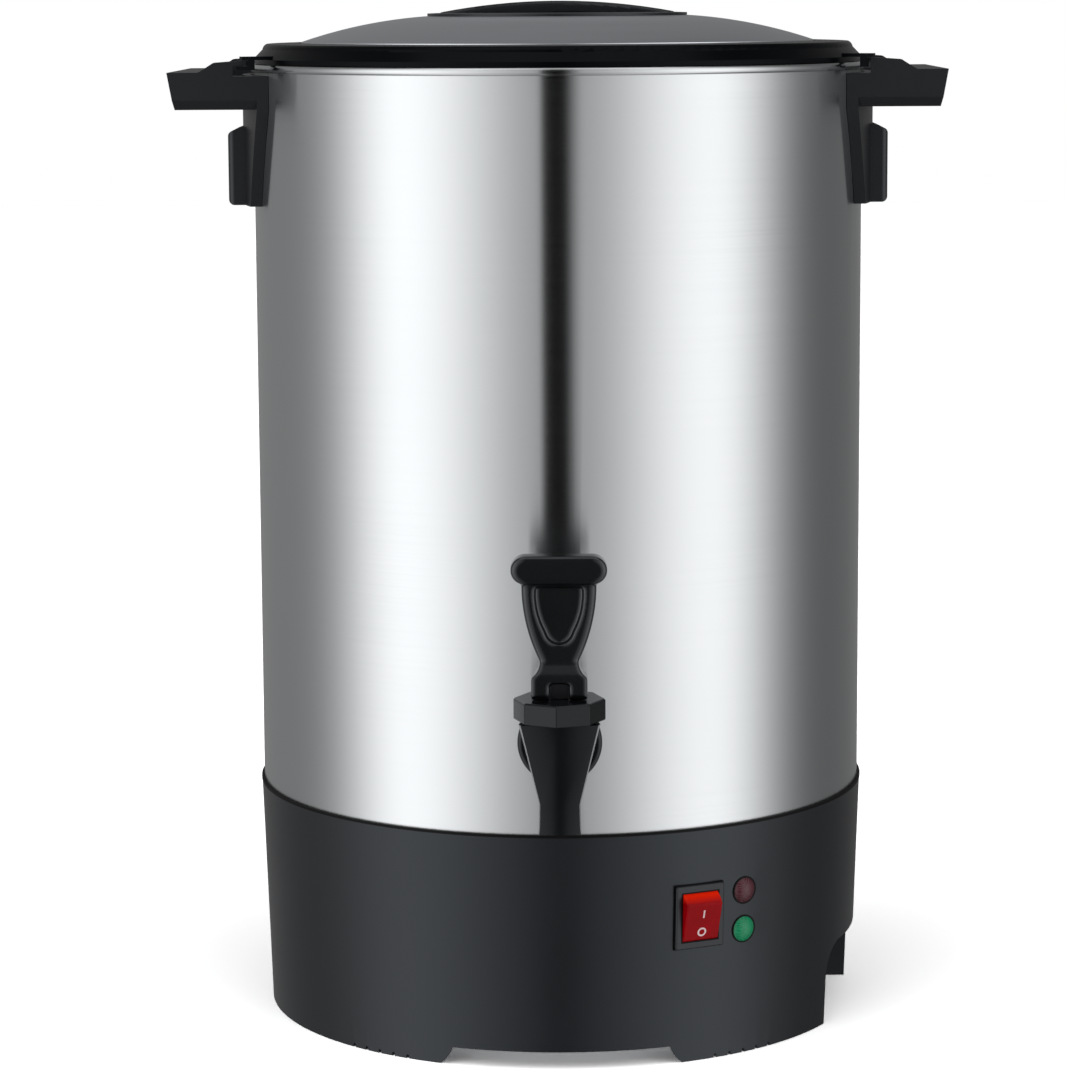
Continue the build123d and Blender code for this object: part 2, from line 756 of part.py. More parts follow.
with BuildPart() as lid_rim:
    with BuildSketch(Plane.XZ):
        with BuildLine():
            Polyline(
                (lid_radius, lid_level), (lid_radius, lid_level + lid_lip),
                (lid_shoulder_radius, lid_level + lid_shoulder_rise),
            )
            ThreePointArc(
                (lid_shoulder_radius, lid_level + lid_shoulder_rise),
                (lid_crown_radius + lid_crown_width / 2 + lid_shoulder_round,
                 lid_level + (lid_shoulder_rise + lid_crown_rise) / 2 + lid_shoulder_round),
                (lid_crown_radius, lid_level + lid_crown_rise),
            )
            Polyline(
                (lid_crown_radius, lid_level + lid_crown_rise),
                (lid_opening_radius, lid_level + lid_opening_rise),
                (lid_opening_radius, lid_level + lid_opening_rise - lid_thickness),
                (skirt_radius - skirt_thickness, lid_level + lid_crown_rise - lid_thickness),
                (skirt_radius - skirt_thickness, skirt_bottom),
                (skirt_radius + skirt_bead, skirt_bottom),
                (skirt_radius + skirt_bead, skirt_bottom + skirt_bead),
                (skirt_radius, skirt_bottom + skirt_bead), (skirt_radius, lid_level),
                (lid_radius, lid_level),
            )
        make_face()
    revolve(axis=Axis.Z)
    # lugs beside the handles' arms: a plate over the rim and a leg
    for azimuth in (-lug_azimuth, lug_azimuth, 180 - lug_azimuth, 180 + lug_azimuth):
        with BuildSketch(upright(azimuth)):
            with BuildLine():
                Polyline(
                    (skirt_radius, lug_top - lug_plate), (lug_leg_inside, lug_top - lug_plate),
                    (lug_leg_inside, lug_bottom), (lug_leg_outside, lug_bottom),
                    (lug_leg_outside, lug_top - lug_plate), (lug_outside, lug_top - lug_plate),
                    (lug_outside, lug_top), (skirt_radius, lug_top), close=True,
                )
            make_face()
        extrude(amount=lug_width / 2, both=True)
    # two of them, opposite each other, have a toe that turns in under an arm
    for azimuth in (-lug_azimuth, 180 - lug_azimuth):
        with BuildSketch(upright(azimuth)):
            with Locations(((lug_leg_inside + lug_toe_outside) / 2, lug_bottom + lug_toe_height / 2)):
                Rectangle(lug_toe_outside - lug_leg_inside, lug_toe_height)
        extrude(amount=lug_width / 2, both=True)
save(lid_rim.part, "lid_rim")

with BuildPart() as lid_seal:
    seal_level = skirt_bottom + skirt_bead + seat_gap
    with BuildSketch(Plane.XY.offset(seal_level)):
        Circle(tank_inside - slide_gap)
        Circle(skirt_radius + seat_gap, mode=Mode.SUBTRACT)
    extrude(amount=seal_height)
    fillet(lid_seal.edges().filter_by(GeomType.CIRCLE), seal_round)
save(lid_seal.part, "lid_seal")

with BuildPart() as lid_dome:
    tuck_radius = lid_opening_radius + dome_tuck
    under_lip = lid_level + lid_opening_rise - lid_thickness - sheet_gap
    with BuildSketch(Plane.XZ):
        with BuildLine():
            ThreePointArc(
                (dish_radius + sheet_gap, dome_height(dish_radius + sheet_gap)),
                (dome_middle, dome_height(dome_middle)),
                (lid_opening_radius - 2 * dome_sheet, dome_height(lid_opening_radius - 2 * dome_sheet)),
            )
            Polyline(
                (lid_opening_radius - 2 * dome_sheet, dome_height(lid_opening_radius - 2 * dome_sheet)),
                (lid_opening_radius - dome_sheet, under_lip), (tuck_radius, under_lip - dome_sheet),
                (tuck_radius, under_lip - 2 * dome_sheet),
                (lid_opening_radius - 2 * dome_sheet, under_lip - dome_sheet),
                (lid_opening_radius - 3 * dome_sheet, dome_height(lid_opening_radius, 1.5 * dome_sheet)),
            )
            ThreePointArc(
                (lid_opening_radius - 3 * dome_sheet, dome_height(lid_opening_radius, 1.5 * dome_sheet)),
                (dome_middle, dome_height(dome_middle, dome_sheet)),
                (dish_radius + sheet_gap, dome_height(dish_radius + sheet_gap, dome_sheet)),
            )
            Line(
                (dish_radius + sheet_gap, dome_height(dish_radius + sheet_gap, dome_sheet)),
                (dish_radius + sheet_gap, dome_height(dish_radius + sheet_gap)),
            )
        make_face()
    revolve(axis=Axis.Z)
save(lid_dome.part, "lid_dome")

with BuildPart() as lid_handle:
    flange_level = dome_height(dish_radius) + sheet_gap
    dish_floor = flange_level - dish_depth
    dish_inside = dish_radius - dish_wall
    bar_end = flange_level + dish_flange_thickness
    bar_top = bar_end + grip_bar_rise
    # arched bar across the dish
    with BuildSketch(Plane.XZ):
        with BuildLine():
            ThreePointArc((-dish_radius, bar_end), (0, bar_top), (dish_radius, bar_end))
            Line((dish_radius, bar_end), (dish_radius, bar_end - grip_bar_thickness))
            ThreePointArc(
                (dish_radius, bar_end - grip_bar_thickness), (0, bar_top - grip_bar_thickness),
                (-dish_radius, bar_end - grip_bar_thickness),
            )
            Line((-dish_radius, bar_end - grip_bar_thickness), (-dish_radius, bar_end))
        make_face()
    extrude(amount=grip_bar_width / 2, both=True)
    fillet(lid_handle.edges().filter_by(GeomType.CIRCLE), grip_bar_round)
    with BuildSketch(Plane.XY.offset(dish_floor)):
        Circle(dish_radius - dish_wall / 2)
    extrude(amount=2 * dish_depth, mode=Mode.INTERSECT)
    with BuildSketch(Plane.XZ):
        with BuildLine():
            Polyline(
                (0, dish_floor - dish_wall), (dish_floor_radius, dish_floor - dish_wall),
                (dish_radius, dish_floor + dish_depth / 3), (dish_radius, flange_level),
                (dish_rim, dome_height(dish_rim) + sheet_gap),
                (dish_rim, dome_height(dish_rim) + sheet_gap + dish_flange_thickness),
                (dish_inside, flange_level + dish_flange_thickness),
                (dish_inside, dish_floor + dish_depth / 3),
                (dish_floor_radius - dish_wall, dish_floor), (0, dish_floor), close=True,
            )
        make_face()
    revolve(axis=Axis.Z)
save(lid_handle.part, "lid_handle")

with BuildPart() as lid_handle_nut:
    nut_top = dome_height(dish_radius + dish_nut_width, dome_sheet) - sheet_gap
    with BuildSketch(Plane.XY.offset(nut_top)):
        Circle(dish_radius + dish_nut_width)
        Circle(dish_radius + running_gap, mode=Mode.SUBTRACT)
    extrude(amount=-dish_nut_height)
save(lid_handle_nut.part, "lid_handle_nut")

# ======================= tap =======================


def tap_outline(radius):
    """Eight-cornered section of the tap body: two broad faces meet in a blunt ridge at the front."""
    flank = ((tap_brow[0], -tap_brow[1]), (tap_side[0], -tap_side[1]), tap_rear)
    right = [(0, -tap_front), *flank, (0, tap_back)]
    left = [(-across, along) for across, along in reversed(flank)]
    return [(radius * across, radius * along) for across, along in right + left]


with BuildPart() as tap_body:
    for level, radius in (
        (body_top, tap_top_radius), (tap_height - tap_waist_drop, tap_waist_radius),
        (tap_height - spout_drop, spout_radius),
    ):
        with BuildSketch(Plane.XY.offset(level)):
            with Locations((0, tap_y)):
                Polygon(*tap_outline(radius), align=None)
    loft(ruled=True)
    with BuildSketch(Plane.XY.offset(body_top)):
        with Locations((0, tap_y)):
            Circle(bonnet_thread_radius)
    extrude(amount=bonnet_thread_height)
    with BuildSketch(Plane.XZ.offset(body_face)):
        with Locations((0, tap_height)):
            Circle(tap_neck_radius)
    extrude(amount=-tap_y - body_face)
    with BuildSketch(Plane.XZ.offset(body_face)):
        with Locations((0, tap_height)):
            Circle(shank_radius)
    extrude(amount=tank_inside - body_face - shank_length + tap_gasket_thickness)
    # waterway: shank, chamber, seat and outlet
    with BuildSketch(Plane.XZ.offset(-tap_y)):
        with Locations((0, tap_height)):
            Circle(inlet_bore_radius)
    extrude(amount=tap_y + tank_inside - shank_length - eps, mode=Mode.SUBTRACT)
    with BuildSketch(Plane.XY.offset(valve_seat)):
        with Locations((0, tap_y)):
            Circle(chamber_radius)
    extrude(amount=body_top + bonnet_thread_height + eps - valve_seat, mode=Mode.SUBTRACT)
    with BuildSketch(Plane.XY.offset(tap_height - spout_drop - eps)):
        with Locations((0, tap_y)):
            Circle(outlet_radius)
    extrude(amount=valve_seat - tap_height + spout_drop + 2 * eps, mode=Mode.SUBTRACT)
save(tap_body.part, "tap_body")

with BuildPart() as tap_flange:
    with BuildSketch(Plane.XZ.offset(flange_face)):
        with Locations((0, tap_height)):
            Circle(tap_flange_radius)
            Circle(shank_radius + running_gap, mode=Mode.SUBTRACT)
    extrude(amount=tap_flange_thickness)
    front_edges = tap_flange.edges().filter_by(GeomType.CIRCLE).group_by(Axis.Y)[0]
    fillet(front_edges.sort_by(SortBy.RADIUS)[-1], tap_flange_thickness / 2)
save(tap_flange.part, "tap_flange")

with BuildPart() as tap_outer_gasket:
    with BuildSketch(Plane.XZ.offset(flange_face)):
        with Locations((0, tap_height)):
            Circle(tap_flange_radius - eps)
            Circle(shank_radius + running_gap, mode=Mode.SUBTRACT)
    extrude(amount=-2 * tap_gasket_thickness)
    with BuildSketch(Plane.XY.offset(tap_height - 2 * tap_flange_radius)):
        Circle(tank_radius + running_gap)
    extrude(amount=4 * tap_flange_radius, mode=Mode.SUBTRACT)
save(tap_outer_gasket.part, "tap_outer_gasket")

with BuildPart() as tap_inner_gasket:
    with BuildSketch(Plane.XZ.offset(tank_inside - tap_gasket_thickness)):
        with Locations((0, tap_height)):
            Circle(shank_nut_radius)
            Circle(shank_radius + running_gap, mode=Mode.SUBTRACT)
    extrude(amount=2 * tap_gasket_thickness)
    with BuildSketch(Plane.XY.offset(tap_height - 2 * tap_flange_radius)):
        Circle(tank_inside - running_gap)
    extrude(amount=4 * tap_flange_radius, mode=Mode.INTERSECT)
save(tap_inner_gasket.part, "tap_inner_gasket")

with BuildPart() as tap_shank_nut:
    with BuildSketch(Plane.XZ.offset(tank_inside - tap_gasket_thickness)):
        with Locations((0, tap_height)):
            RegularPolygon(shank_nut_radius, 6)
            Circle(shank_radius + running_gap, mode=Mode.SUBTRACT)
    extrude(amount=-shank_nut_height)
save(tap_shank_nut.part, "tap_shank_nut")

with BuildPart() as tap_bonnet:
    with BuildSketch(Plane.XY.offset(bonnet_bottom)):
        with Locations((0, tap_y)):
            RegularPolygon(bonnet_radius, 8, rotation=bonnet_turn)
    extrude(amount=bonnet_height)
    chamfer(tap_bonnet.faces().sort_by(Axis.Z)[-1].edges(), bonnet_chamfer)
    chamfer(tap_bonnet.faces().sort_by(Axis.Z)[0].edges(), bonnet_chamfer / 2)
    with BuildSketch(Plane.XY.offset(bonnet_bottom)):
        with Locations((0, tap_y)):
            Circle(bonnet_thread_radius + running_gap)
    extrude(amount=bonnet_thread_height + seat_gap, mode=Mode.SUBTRACT)
    with BuildSketch(Plane.XY.offset(bonnet_bottom)):
        with Locations((0, tap_y)):
            Circle(stem_radius + slide_gap)
    extrude(amount=bonnet_height + eps, mode=Mode.SUBTRACT)
save(tap_bonnet.part, "tap_bonnet")

with BuildPart() as tap_stem:
    stem_bottom = valve_seat + seat_gap + seat_cup_height - seat_cup_grip
    with BuildSketch(Plane.XY.offset(stem_bottom)):
        with Locations((0, tap_y)):
            Circle(stem_radius)
    extrude(amount=bonnet_top + 2 * seat_gap - stem_bottom)
    with BuildSketch(Plane.XY.offset(bonnet_top + seat_gap)):
        with Locations((0, tap_y)):
            Rectangle(stem_head_width, stem_head_width)
    extrude(amount=pin_level + stem_head_rise - bonnet_top - seat_gap)
    fillet(tap_stem.faces().sort_by(Axis.Z)[-1].edges().filter_by(Axis.X), stem_head_width / 4)
    with BuildSketch(Plane.YZ.offset(-stem_head_width)):
        with Locations((tap_y, pin_level)):
            Circle(pin_radius + running_gap)
    extrude(amount=2 * stem_head_width, mode=Mode.SUBTRACT)
save(tap_stem.part, "tap_stem")

with BuildPart() as tap_seat_cup:
    with BuildSketch(Plane.XY.offset(valve_seat + seat_gap)):
        with Locations((0, tap_y)):
            Circle(seat_cup_radius)
    extrude(amount=seat_cup_height)
    fillet(tap_seat_cup.faces().sort_by(Axis.Z)[-1].edges(), seat_cup_height / 3)
    with BuildSketch(Plane.XY.offset(stem_bottom)):
        with Locations((0, tap_y)):
            Circle(stem_radius)
    extrude(amount=seat_cup_height, mode=Mode.SUBTRACT)
save(tap_seat_cup.part, "tap_seat_cup")

spring_bottom = valve_seat + seat_gap + seat_cup_height + spring_wire
spring_top = bonnet_bottom + bonnet_thread_height - spring_wire
spring_height = spring_top - spring_bottom
with BuildPart() as tap_spring:
    with BuildLine():
        coil = Helix(
            spring_height / spring_turns, spring_height, spring_radius, center=(0, tap_y, spring_bottom)
        )
    with BuildSketch(Plane(origin=coil @ 0, z_dir=coil % 0)):
        Circle(spring_wire)
    sweep(is_frenet=True)
save(tap_spring.part, "tap_spring")

with BuildPart() as tap_lever_pin:
    with BuildSketch(Plane.YZ.offset(-fork_width / 2)):
        with Locations((tap_y, pin_level)):
            Circle(pin_radius)
    extrude(amount=fork_width)
save(tap_lever_pin.part, "tap_lever_pin")

lever_plane = Plane.XZ.offset(-tap_y)
half_fork, half_waist, half_shoulder = fork_width / 2, lever_waist / 2, lever_shoulder / 2
shoulder = pin_level + fork_shoulder_rise
fork_top = pin_level + fork_top_rise
plate_rise = pin_level + lever_plate_rise
middle_rise = (fork_top + plate_rise) / 2

with BuildPart() as lever_plate:
    # shield-shaped plate of the lever
    with BuildSketch(lever_plane.offset(-lever_plate_thickness / 2)):
        with BuildLine():
            Line((-half_waist, fork_top), (half_waist, fork_top))
            ThreePointArc((half_waist, fork_top), (lever_belly, middle_rise), (half_shoulder, plate_rise))
            Line((half_shoulder, plate_rise), (-half_shoulder, plate_rise))
            ThreePointArc((-half_shoulder, plate_rise), (-lever_belly, middle_rise), (-half_waist, fork_top))
        make_face()
    extrude(amount=lever_plate_thickness)
    fillet(lever_plate.edges().filter_by(GeomType.CIRCLE), lever_edge)

with BuildPart() as lever_bar:
    # rounded thumb bar across the top of the lever
    with BuildSketch(lever_plane.offset(-lever_bar_depth / 2)):
        with Locations((0, plate_rise + lever_bar_height / 2 - eps)):
            SlotOverall(lever_bar_width, lever_bar_height)
    extrude(amount=lever_bar_depth)
    fillet(lever_bar.faces().filter_by(Axis.Y).edges(), lever_bar_height / 6)

with BuildPart() as tap_lever:
    # fork whose front toes lift the stem as the lever tilts
    with BuildSketch(Plane.YZ) as fork_side:
        with BuildLine():
            Polyline(
                (tap_y - fork_front, pin_level - fork_drop), (tap_y - fork_front, shoulder),
                (tap_y - lever_plate_thickness / 2, fork_top), (tap_y + lever_plate_thickness / 2, fork_top),
                (tap_y + fork_back, shoulder), (tap_y + fork_back, pin_level - fork_drop), close=True,
            )
        make_face()
        fillet(fork_side.vertices().group_by(Axis.Y)[0], fork_toe_round)
        fillet(fork_side.vertices().group_by(Axis.X)[0].sort_by(Axis.Y)[-1], fork_brow_round)
    extrude(amount=fork_width / 2, both=True)
    with BuildSketch(lever_plane):
        with BuildLine():
            Polyline(
                (-half_fork, shoulder), (-half_fork, bonnet_top), (half_fork, bonnet_top),
                (half_fork, shoulder),
            )
            RadiusArc((half_fork, shoulder), (half_waist, fork_top), fork_shoulder_round)
            Line((half_waist, fork_top), (-half_waist, fork_top))
            RadiusArc((-half_waist, fork_top), (-half_fork, shoulder), fork_shoulder_round)
        make_face()
    extrude(amount=2 * fork_front, both=True, mode=Mode.INTERSECT)
    add(lever_plate.part)
    add(lever_bar.part)
    half_recess, half_belly, half_chin = lever_recess_width / 2, lever_recess_belly / 2, lever_recess_chin / 2
    recess_top = pin_level + lever_recess_top
    recess_bottom = pin_level + lever_recess_bottom
    recess_chin = recess_bottom + lever_recess_chin_rise
    recess_middle = (recess_top + recess_chin) / 2
    with BuildSketch(lever_plane.offset(lever_plate_thickness / 2 - lever_recess_depth)):
        with BuildLine():
            Line((-half_recess, recess_top), (half_recess, recess_top))
            ThreePointArc((half_recess, recess_top), (half_belly, recess_middle), (half_chin, recess_chin))
            ThreePointArc((half_chin, recess_chin), (0, recess_bottom), (-half_chin, recess_chin))
            ThreePointArc((-half_chin, recess_chin), (-half_belly, recess_middle), (-half_recess, recess_top))
        make_face()
    extrude(amount=2 * lever_recess_depth, mode=Mode.SUBTRACT)
    # room for the stem's head between the fork's legs
    with BuildSketch(Plane.YZ.offset(-fork_gap / 2)):
        with Locations((tap_y, pin_level)):
            Circle(hypot(stem_head_width / 2, stem_head_rise) + slide_gap)
        with Locations((tap_y, pin_level - fork_drop)):
            Rectangle(4 * fork_front, 2 * fork_drop)
    extrude(amount=fork_gap, mode=Mode.SUBTRACT)
    with BuildSketch(Plane.YZ.offset(-fork_width)):
        with Locations((tap_y, pin_level)):
            Circle(pin_radius + running_gap)
    extrude(amount=2 * fork_width, mode=Mode.SUBTRACT)
save(tap_lever.part, "tap_lever")

# ======================= percolator =======================

with BuildPart() as pump_tube:
    bell_top = pump_foot_level + pump_foot_height
    bell_side = pump_foot_level + pump_foot_height / 5
    tube_inside = pump_tube_radius - pump_tube_wall
    bell_inside = pump_foot_radius - pump_tube_wall
    with BuildSketch(Plane.XZ):
        with BuildLine():
            Polyline(
                (pump_foot_radius, pump_foot_level), (pump_foot_radius, bell_side),
                (pump_tube_radius, bell_top), (pump_tube_radius, pump_tube_top),
                (tube_inside, pump_tube_top), (tube_inside, bell_top - pump_tube_wall),
                (bell_inside, bell_side - pump_tube_wall / 2), (bell_inside, pump_foot_level), close=True,
            )
        make_face()
        with BuildLine():
            Polyline(
                (pump_tube_radius - pump_tube_wall / 2, collar_top - pump_collar_height),
                (pump_tube_radius, collar_top - pump_collar_height),
                (pump_collar_radius, collar_top - pump_collar_height / 3), (pump_collar_radius, collar_top),
                (pump_tube_radius - pump_tube_wall / 2, collar_top), close=True,
            )
        make_face()
    revolve(axis=Axis.Z)
save(pump_tube.part, "pump_tube")

with BuildPart() as pump_valve:
    with BuildSketch(Plane.XY.offset(pump_foot_level)):
        Circle(valve_radius)
        Circle(valve_hole, mode=Mode.SUBTRACT)
    extrude(amount=valve_thickness)
save(pump_valve.part, "pump_valve")

with BuildPart() as coffee_basket:
    sleeve_inside = pump_tube_radius + slide_gap
    sleeve_outside = sleeve_inside + basket_sheet
    basket_floor = basket_level + basket_sheet
    with BuildSketch(Plane.XZ):
        with BuildLine():
            Polyline(
                (sleeve_inside, basket_level), (basket_radius, basket_level), (basket_radius, basket_top),
                (basket_radius - basket_sheet, basket_top), (basket_radius - basket_sheet, basket_floor),
                (sleeve_outside, basket_floor), (sleeve_outside, basket_level + basket_sleeve_height),
                (sleeve_inside, basket_level + basket_sleeve_height), close=True,
            )
        make_face()
        with Locations((basket_radius, basket_top - basket_sheet)):
            Circle(basket_sheet)
    revolve(axis=Axis.Z)
    with BuildSketch(Plane.XY.offset(basket_level - eps)):
        for radius, count in hole_rings(basket_first_ring, basket_ring_pitch, basket_hole_pitch):
            with PolarLocations(radius, count):
                Circle(basket_hole)
    extrude(amount=basket_sheet + 2 * eps, mode=Mode.SUBTRACT)
save(coffee_basket.part, "coffee_basket")

with BuildPart() as basket_lid:
    spreader_level = basket_top + seat_gap
    lip_outside = basket_radius - basket_sheet - slide_gap
    with BuildSketch(Plane.XZ):
        with BuildLine():
            Polyline(
                (sleeve_outside, spreader_level), (lip_outside - basket_sheet, spreader_level),
                (lip_outside - basket_sheet, spreader_level - spreader_lip),
                (lip_outside, spreader_level - spreader_lip), (lip_outside, spreader_level),
                (basket_radius + basket_sheet, spreader_level),
                (basket_radius + basket_sheet, spreader_level + basket_sheet),
                (sleeve_outside, spreader_level + basket_sheet), close=True,
            )
        make_face()
    revolve(axis=Axis.Z)
    with BuildSketch(Plane.XY.offset(spreader_level - eps)):
        for radius, count in hole_rings(spreader_first_ring, spreader_ring_pitch, spreader_hole_pitch):
            with PolarLocations(radius, count):
                Circle(spreader_hole)
    extrude(amount=basket_sheet + 2 * eps, mode=Mode.SUBTRACT)
save(basket_lid.part, "basket_lid")

# ======================= heating =======================

with BuildPart() as main_heater:
    with BuildSketch(Plane.XY.offset(well_bottom)):
        Circle(heater_radius)
    extrude(amount=-heater_height)
    fillet(main_heater.faces().sort_by(Axis.Z)[0].edges(), heater_height / 5)
    with BuildSketch(Plane.XY.offset(well_bottom - heater_height)):
        with GridLocations(heater_radius, 0, 2, 1):
            Rectangle(terminal_width, terminal_thickness)
    extrude(amount=-terminal_length)
save(main_heater.part, "main_heater")

with BuildPart() as keep_warm_heater:
    warm_level = tank_bottom - warm_tube_radius
    with BuildSketch(Plane.XZ):
        with Locations((warm_ring_radius, warm_level)):
            Circle(warm_tube_radius)
    revolve(axis=Axis.Z, revolution_arc=warm_ring_angle)
    with BuildSketch(Plane.XY.offset(warm_level)):
        span = warm_ring_angle - 2 * warm_end_angle
        with PolarLocations(warm_ring_radius, 2, warm_end_angle, span, endpoint=True):
            Rectangle(terminal_width, terminal_thickness)
    extrude(amount=-warm_tube_radius - terminal_length)
save(keep_warm_heater.part, "keep_warm_heater")

for name, azimuth in (("thermostat", thermostat_azimuth), ("thermal_fuse", thermal_fuse_azimuth)):
    with BuildPart() as cutout:
        with BuildSketch(Plane.XY.offset(tank_bottom)):
            with Locations(spot(azimuth, cutout_circle)):
                Circle(cutout_radius)
        extrude(amount=-cutout_height)
        with BuildSketch(Plane.XY.offset(tank_bottom - cutout_height)):
            with Locations(spot(azimuth, cutout_circle)):
                with GridLocations(0, cutout_radius, 1, 2):
                    Rectangle(terminal_width, terminal_thickness)
        extrude(amount=-terminal_length)
    save(cutout.part, name)

# ======================= switch and lamps =======================

pivot_depth = switch_bezel_thickness - rocker_pivot_depth
pivot_origin = switch_face.offset(pivot_depth).origin
pivot_plane = Plane(origin=pivot_origin, x_dir=switch_face.y_dir, z_dir=switch_face.x_dir)
rocker_up = switch_face.y_dir * cos(radians(rocker_tilt)) + switch_face.z_dir * sin(radians(rocker_tilt))
rocker_plane = Plane(origin=pivot_origin, x_dir=rocker_up, z_dir=switch_face.x_dir)

with BuildPart() as switch_body:
    with BuildSketch(switch_face):
        RectangleRounded(*switch_bezel, switch_bezel_round)
    extrude(amount=switch_bezel_thickness)
    bezel_front = switch_body.faces().sort_by(Axis(switch_face.origin, switch_face.z_dir))[-1]
    chamfer(bezel_front.edges(), switch_bezel_chamfer)
    with BuildSketch(switch_face):
        Rectangle(*switch_case)
    extrude(amount=-switch_depth)
    with BuildSketch(pivot_plane):
        Circle(rocker_pocket_radius)
    extrude(amount=rocker_width / 2 + seat_gap, both=True, mode=Mode.SUBTRACT)
    with BuildSketch(pivot_plane):
        Circle(rocker_pin_radius + running_gap)
    extrude(amount=rocker_width / 2 + rocker_pin_length + seat_gap, both=True, mode=Mode.SUBTRACT)
save(switch_body.part, "switch_body")

with BuildPart() as switch_rocker:
    with BuildSketch(rocker_plane):
        Circle(rocker_radius)
        with Locations((0, (rocker_flat - rocker_web) / 2)):
            Rectangle(2 * rocker_radius, rocker_flat + rocker_web, mode=Mode.INTERSECT)
    extrude(amount=rocker_width / 2, both=True)
    with BuildSketch(pivot_plane):
        Circle(rocker_pin_radius)
    extrude(amount=rocker_width / 2 + rocker_pin_length, both=True)
save(switch_rocker.part, "switch_rocker")

with BuildPart() as switch_terminals:
    for u in (-0.25, 0.25):
        for v in (-0.25, 0.25):
            with BuildSketch(switch_face.offset(-switch_depth)):
                with Locations((u * switch_case[0], v * switch_case[1])):
                    Rectangle(terminal_thickness, terminal_width)
            extrude(amount=-terminal_length)
save(switch_terminals.part, "switch_terminals")

lamp_case_inside = lamp_case_radius - lamp_case_wall
lamp_ball = (lamp_radius**2 + lamp_dome**2) / (2 * lamp_dome)
for colour, face in lamp_faces.items():
    with BuildPart() as lamp_lens:
        with Locations(face.offset(lamp_flange + lamp_dome - lamp_ball).location):
            Sphere(lamp_ball)
        with BuildSketch(face.offset(sheet_gap)):
            Circle(lamp_radius)
        extrude(amount=lamp_flange + lamp_dome, mode=Mode.INTERSECT)
        with BuildSketch(face.offset(sheet_gap)):
            Circle(lamp_case_inside - running_gap)
        extrude(amount=-2 * lamp_dome)
    save(lamp_lens.part, f"lamp_lens_{colour}")

with BuildPart() as lamp_cases:
    for face in lamp_faces.values():
        with BuildSketch(face):
            Circle(lamp_case_radius)
        extrude(amount=-lamp_case_depth)
        with BuildSketch(face):
            Circle(lamp_case_inside)
        extrude(amount=lamp_case_wall - lamp_case_depth, mode=Mode.SUBTRACT)
save(lamp_cases.part, "lamp_cases")

# ======================= mains inlet =======================

inlet_face = Plane.YZ.offset(pocket_back)
with BuildPart() as inlet_socket:
    with BuildSketch(inlet_face):
        with Locations((pocket_middle, inlet_level)):
            RectangleRounded(*inlet_flange, inlet_flange_round)
    extrude(amount=inlet_flange_thickness)
    with BuildSketch(inlet_face):
        with Locations((pocket_middle, inlet_level)):
            Rectangle(*inlet_case)
    extrude(amount=-inlet_depth)
    with BuildSketch(inlet_face.offset(inlet_flange_thickness)):
        with Locations((pocket_middle, inlet_level)):
            Rectangle(*inlet_mouth)
        chamfer(vertices().group_by(Axis.Z)[-1], inlet_mouth_chamfer)
    extrude(amount=-inlet_mouth_depth, mode=Mode.SUBTRACT)
    with BuildSketch(inlet_face.offset(inlet_flange_thickness)):
        with Locations((pocket_middle, inlet_level)):
            with GridLocations(inlet_screw_spacing, 0, 2, 1):
                Circle(screw_radius + running_gap)
    extrude(amount=-2 * inlet_flange_thickness, mode=Mode.SUBTRACT)
save(inlet_socket.part, "inlet_socket")

inlet_well = inlet_face.offset(inlet_flange_thickness - inlet_mouth_depth)
with BuildPart() as inlet_pins:
    # two lower pins and a raised earth pin, each with its tail behind the socket
    for step, rise in ((-1, -pin_offset), (0, pin_offset), (1, -pin_offset)):
        with BuildSketch(inlet_well):
            with Locations((pocket_middle + step * pin_spacing, inlet_level + rise)):
                Rectangle(*pin_size)
        extrude(amount=pin_length)
        with BuildSketch(inlet_face.offset(-inlet_depth)):
            with Locations((pocket_middle + step * pin_spacing, inlet_level + rise)):
                Rectangle(*pin_size)
        extrude(amount=-terminal_length)
save(inlet_pins.part, "inlet_pins")

with BuildPart() as inlet_screws:
    with BuildSketch(inlet_face.offset(inlet_flange_thickness)):
        with Locations((pocket_middle, inlet_level)):
            with GridLocations(inlet_screw_spacing, 0, 2, 1):
                Circle(screw_head_radius)
    extrude(amount=screw_head_height)
    with BuildSketch(inlet_face.offset(inlet_flange_thickness)):
        with Locations((pocket_middle, inlet_level)):
            with GridLocations(inlet_screw_spacing, 0, 2, 1):
                Circle(screw_radius)
    extrude(amount=-inlet_flange_thickness - base_wall - eps)
save(inlet_screws.part, "inlet_screws")

# ======================= terminal block and wires =======================

with BuildPart() as terminal_block:
    with BuildSketch(Plane.XY.offset(plate_top)):
        with Locations(block_place):
            Rectangle(*block_size[:2])
    extrude(amount=block_size[2])
    chamfer(terminal_block.edges().filter_by(Axis.Y).group_by(Axis.Z)[-1], block_chamfer)
    with BuildSketch(Plane.XY.offset(block_top)):
        with Locations(block_place):
            with GridLocations(0, block_way_pitch, 1, 3):
                Circle(block_screw_radius + running_gap)
    extrude(amount=-block_screw_depth, mode=Mode.SUBTRACT)
save(terminal_block.part, "terminal_block")

with BuildPart() as block_screws:
    with BuildSketch(Plane.XY.offset(block_top - block_screw_sink)):
        with Locations(block_place):
            with GridLocations(0, block_way_pitch, 1, 3):
                Circle(block_screw_radius)
    extrude(amount=block_screw_sink - block_screw_depth)
save(block_screws.part, "block_screws")

inlet_tail = pocket_back - inlet_depth - terminal_length
block_right = block_place[0] + block_size[0] / 2
block_left = block_place[0] - block_size[0] / 2
block_level = plate_top + block_size[2] / 2
switch_tail = switch_face.offset(-switch_depth - terminal_length)

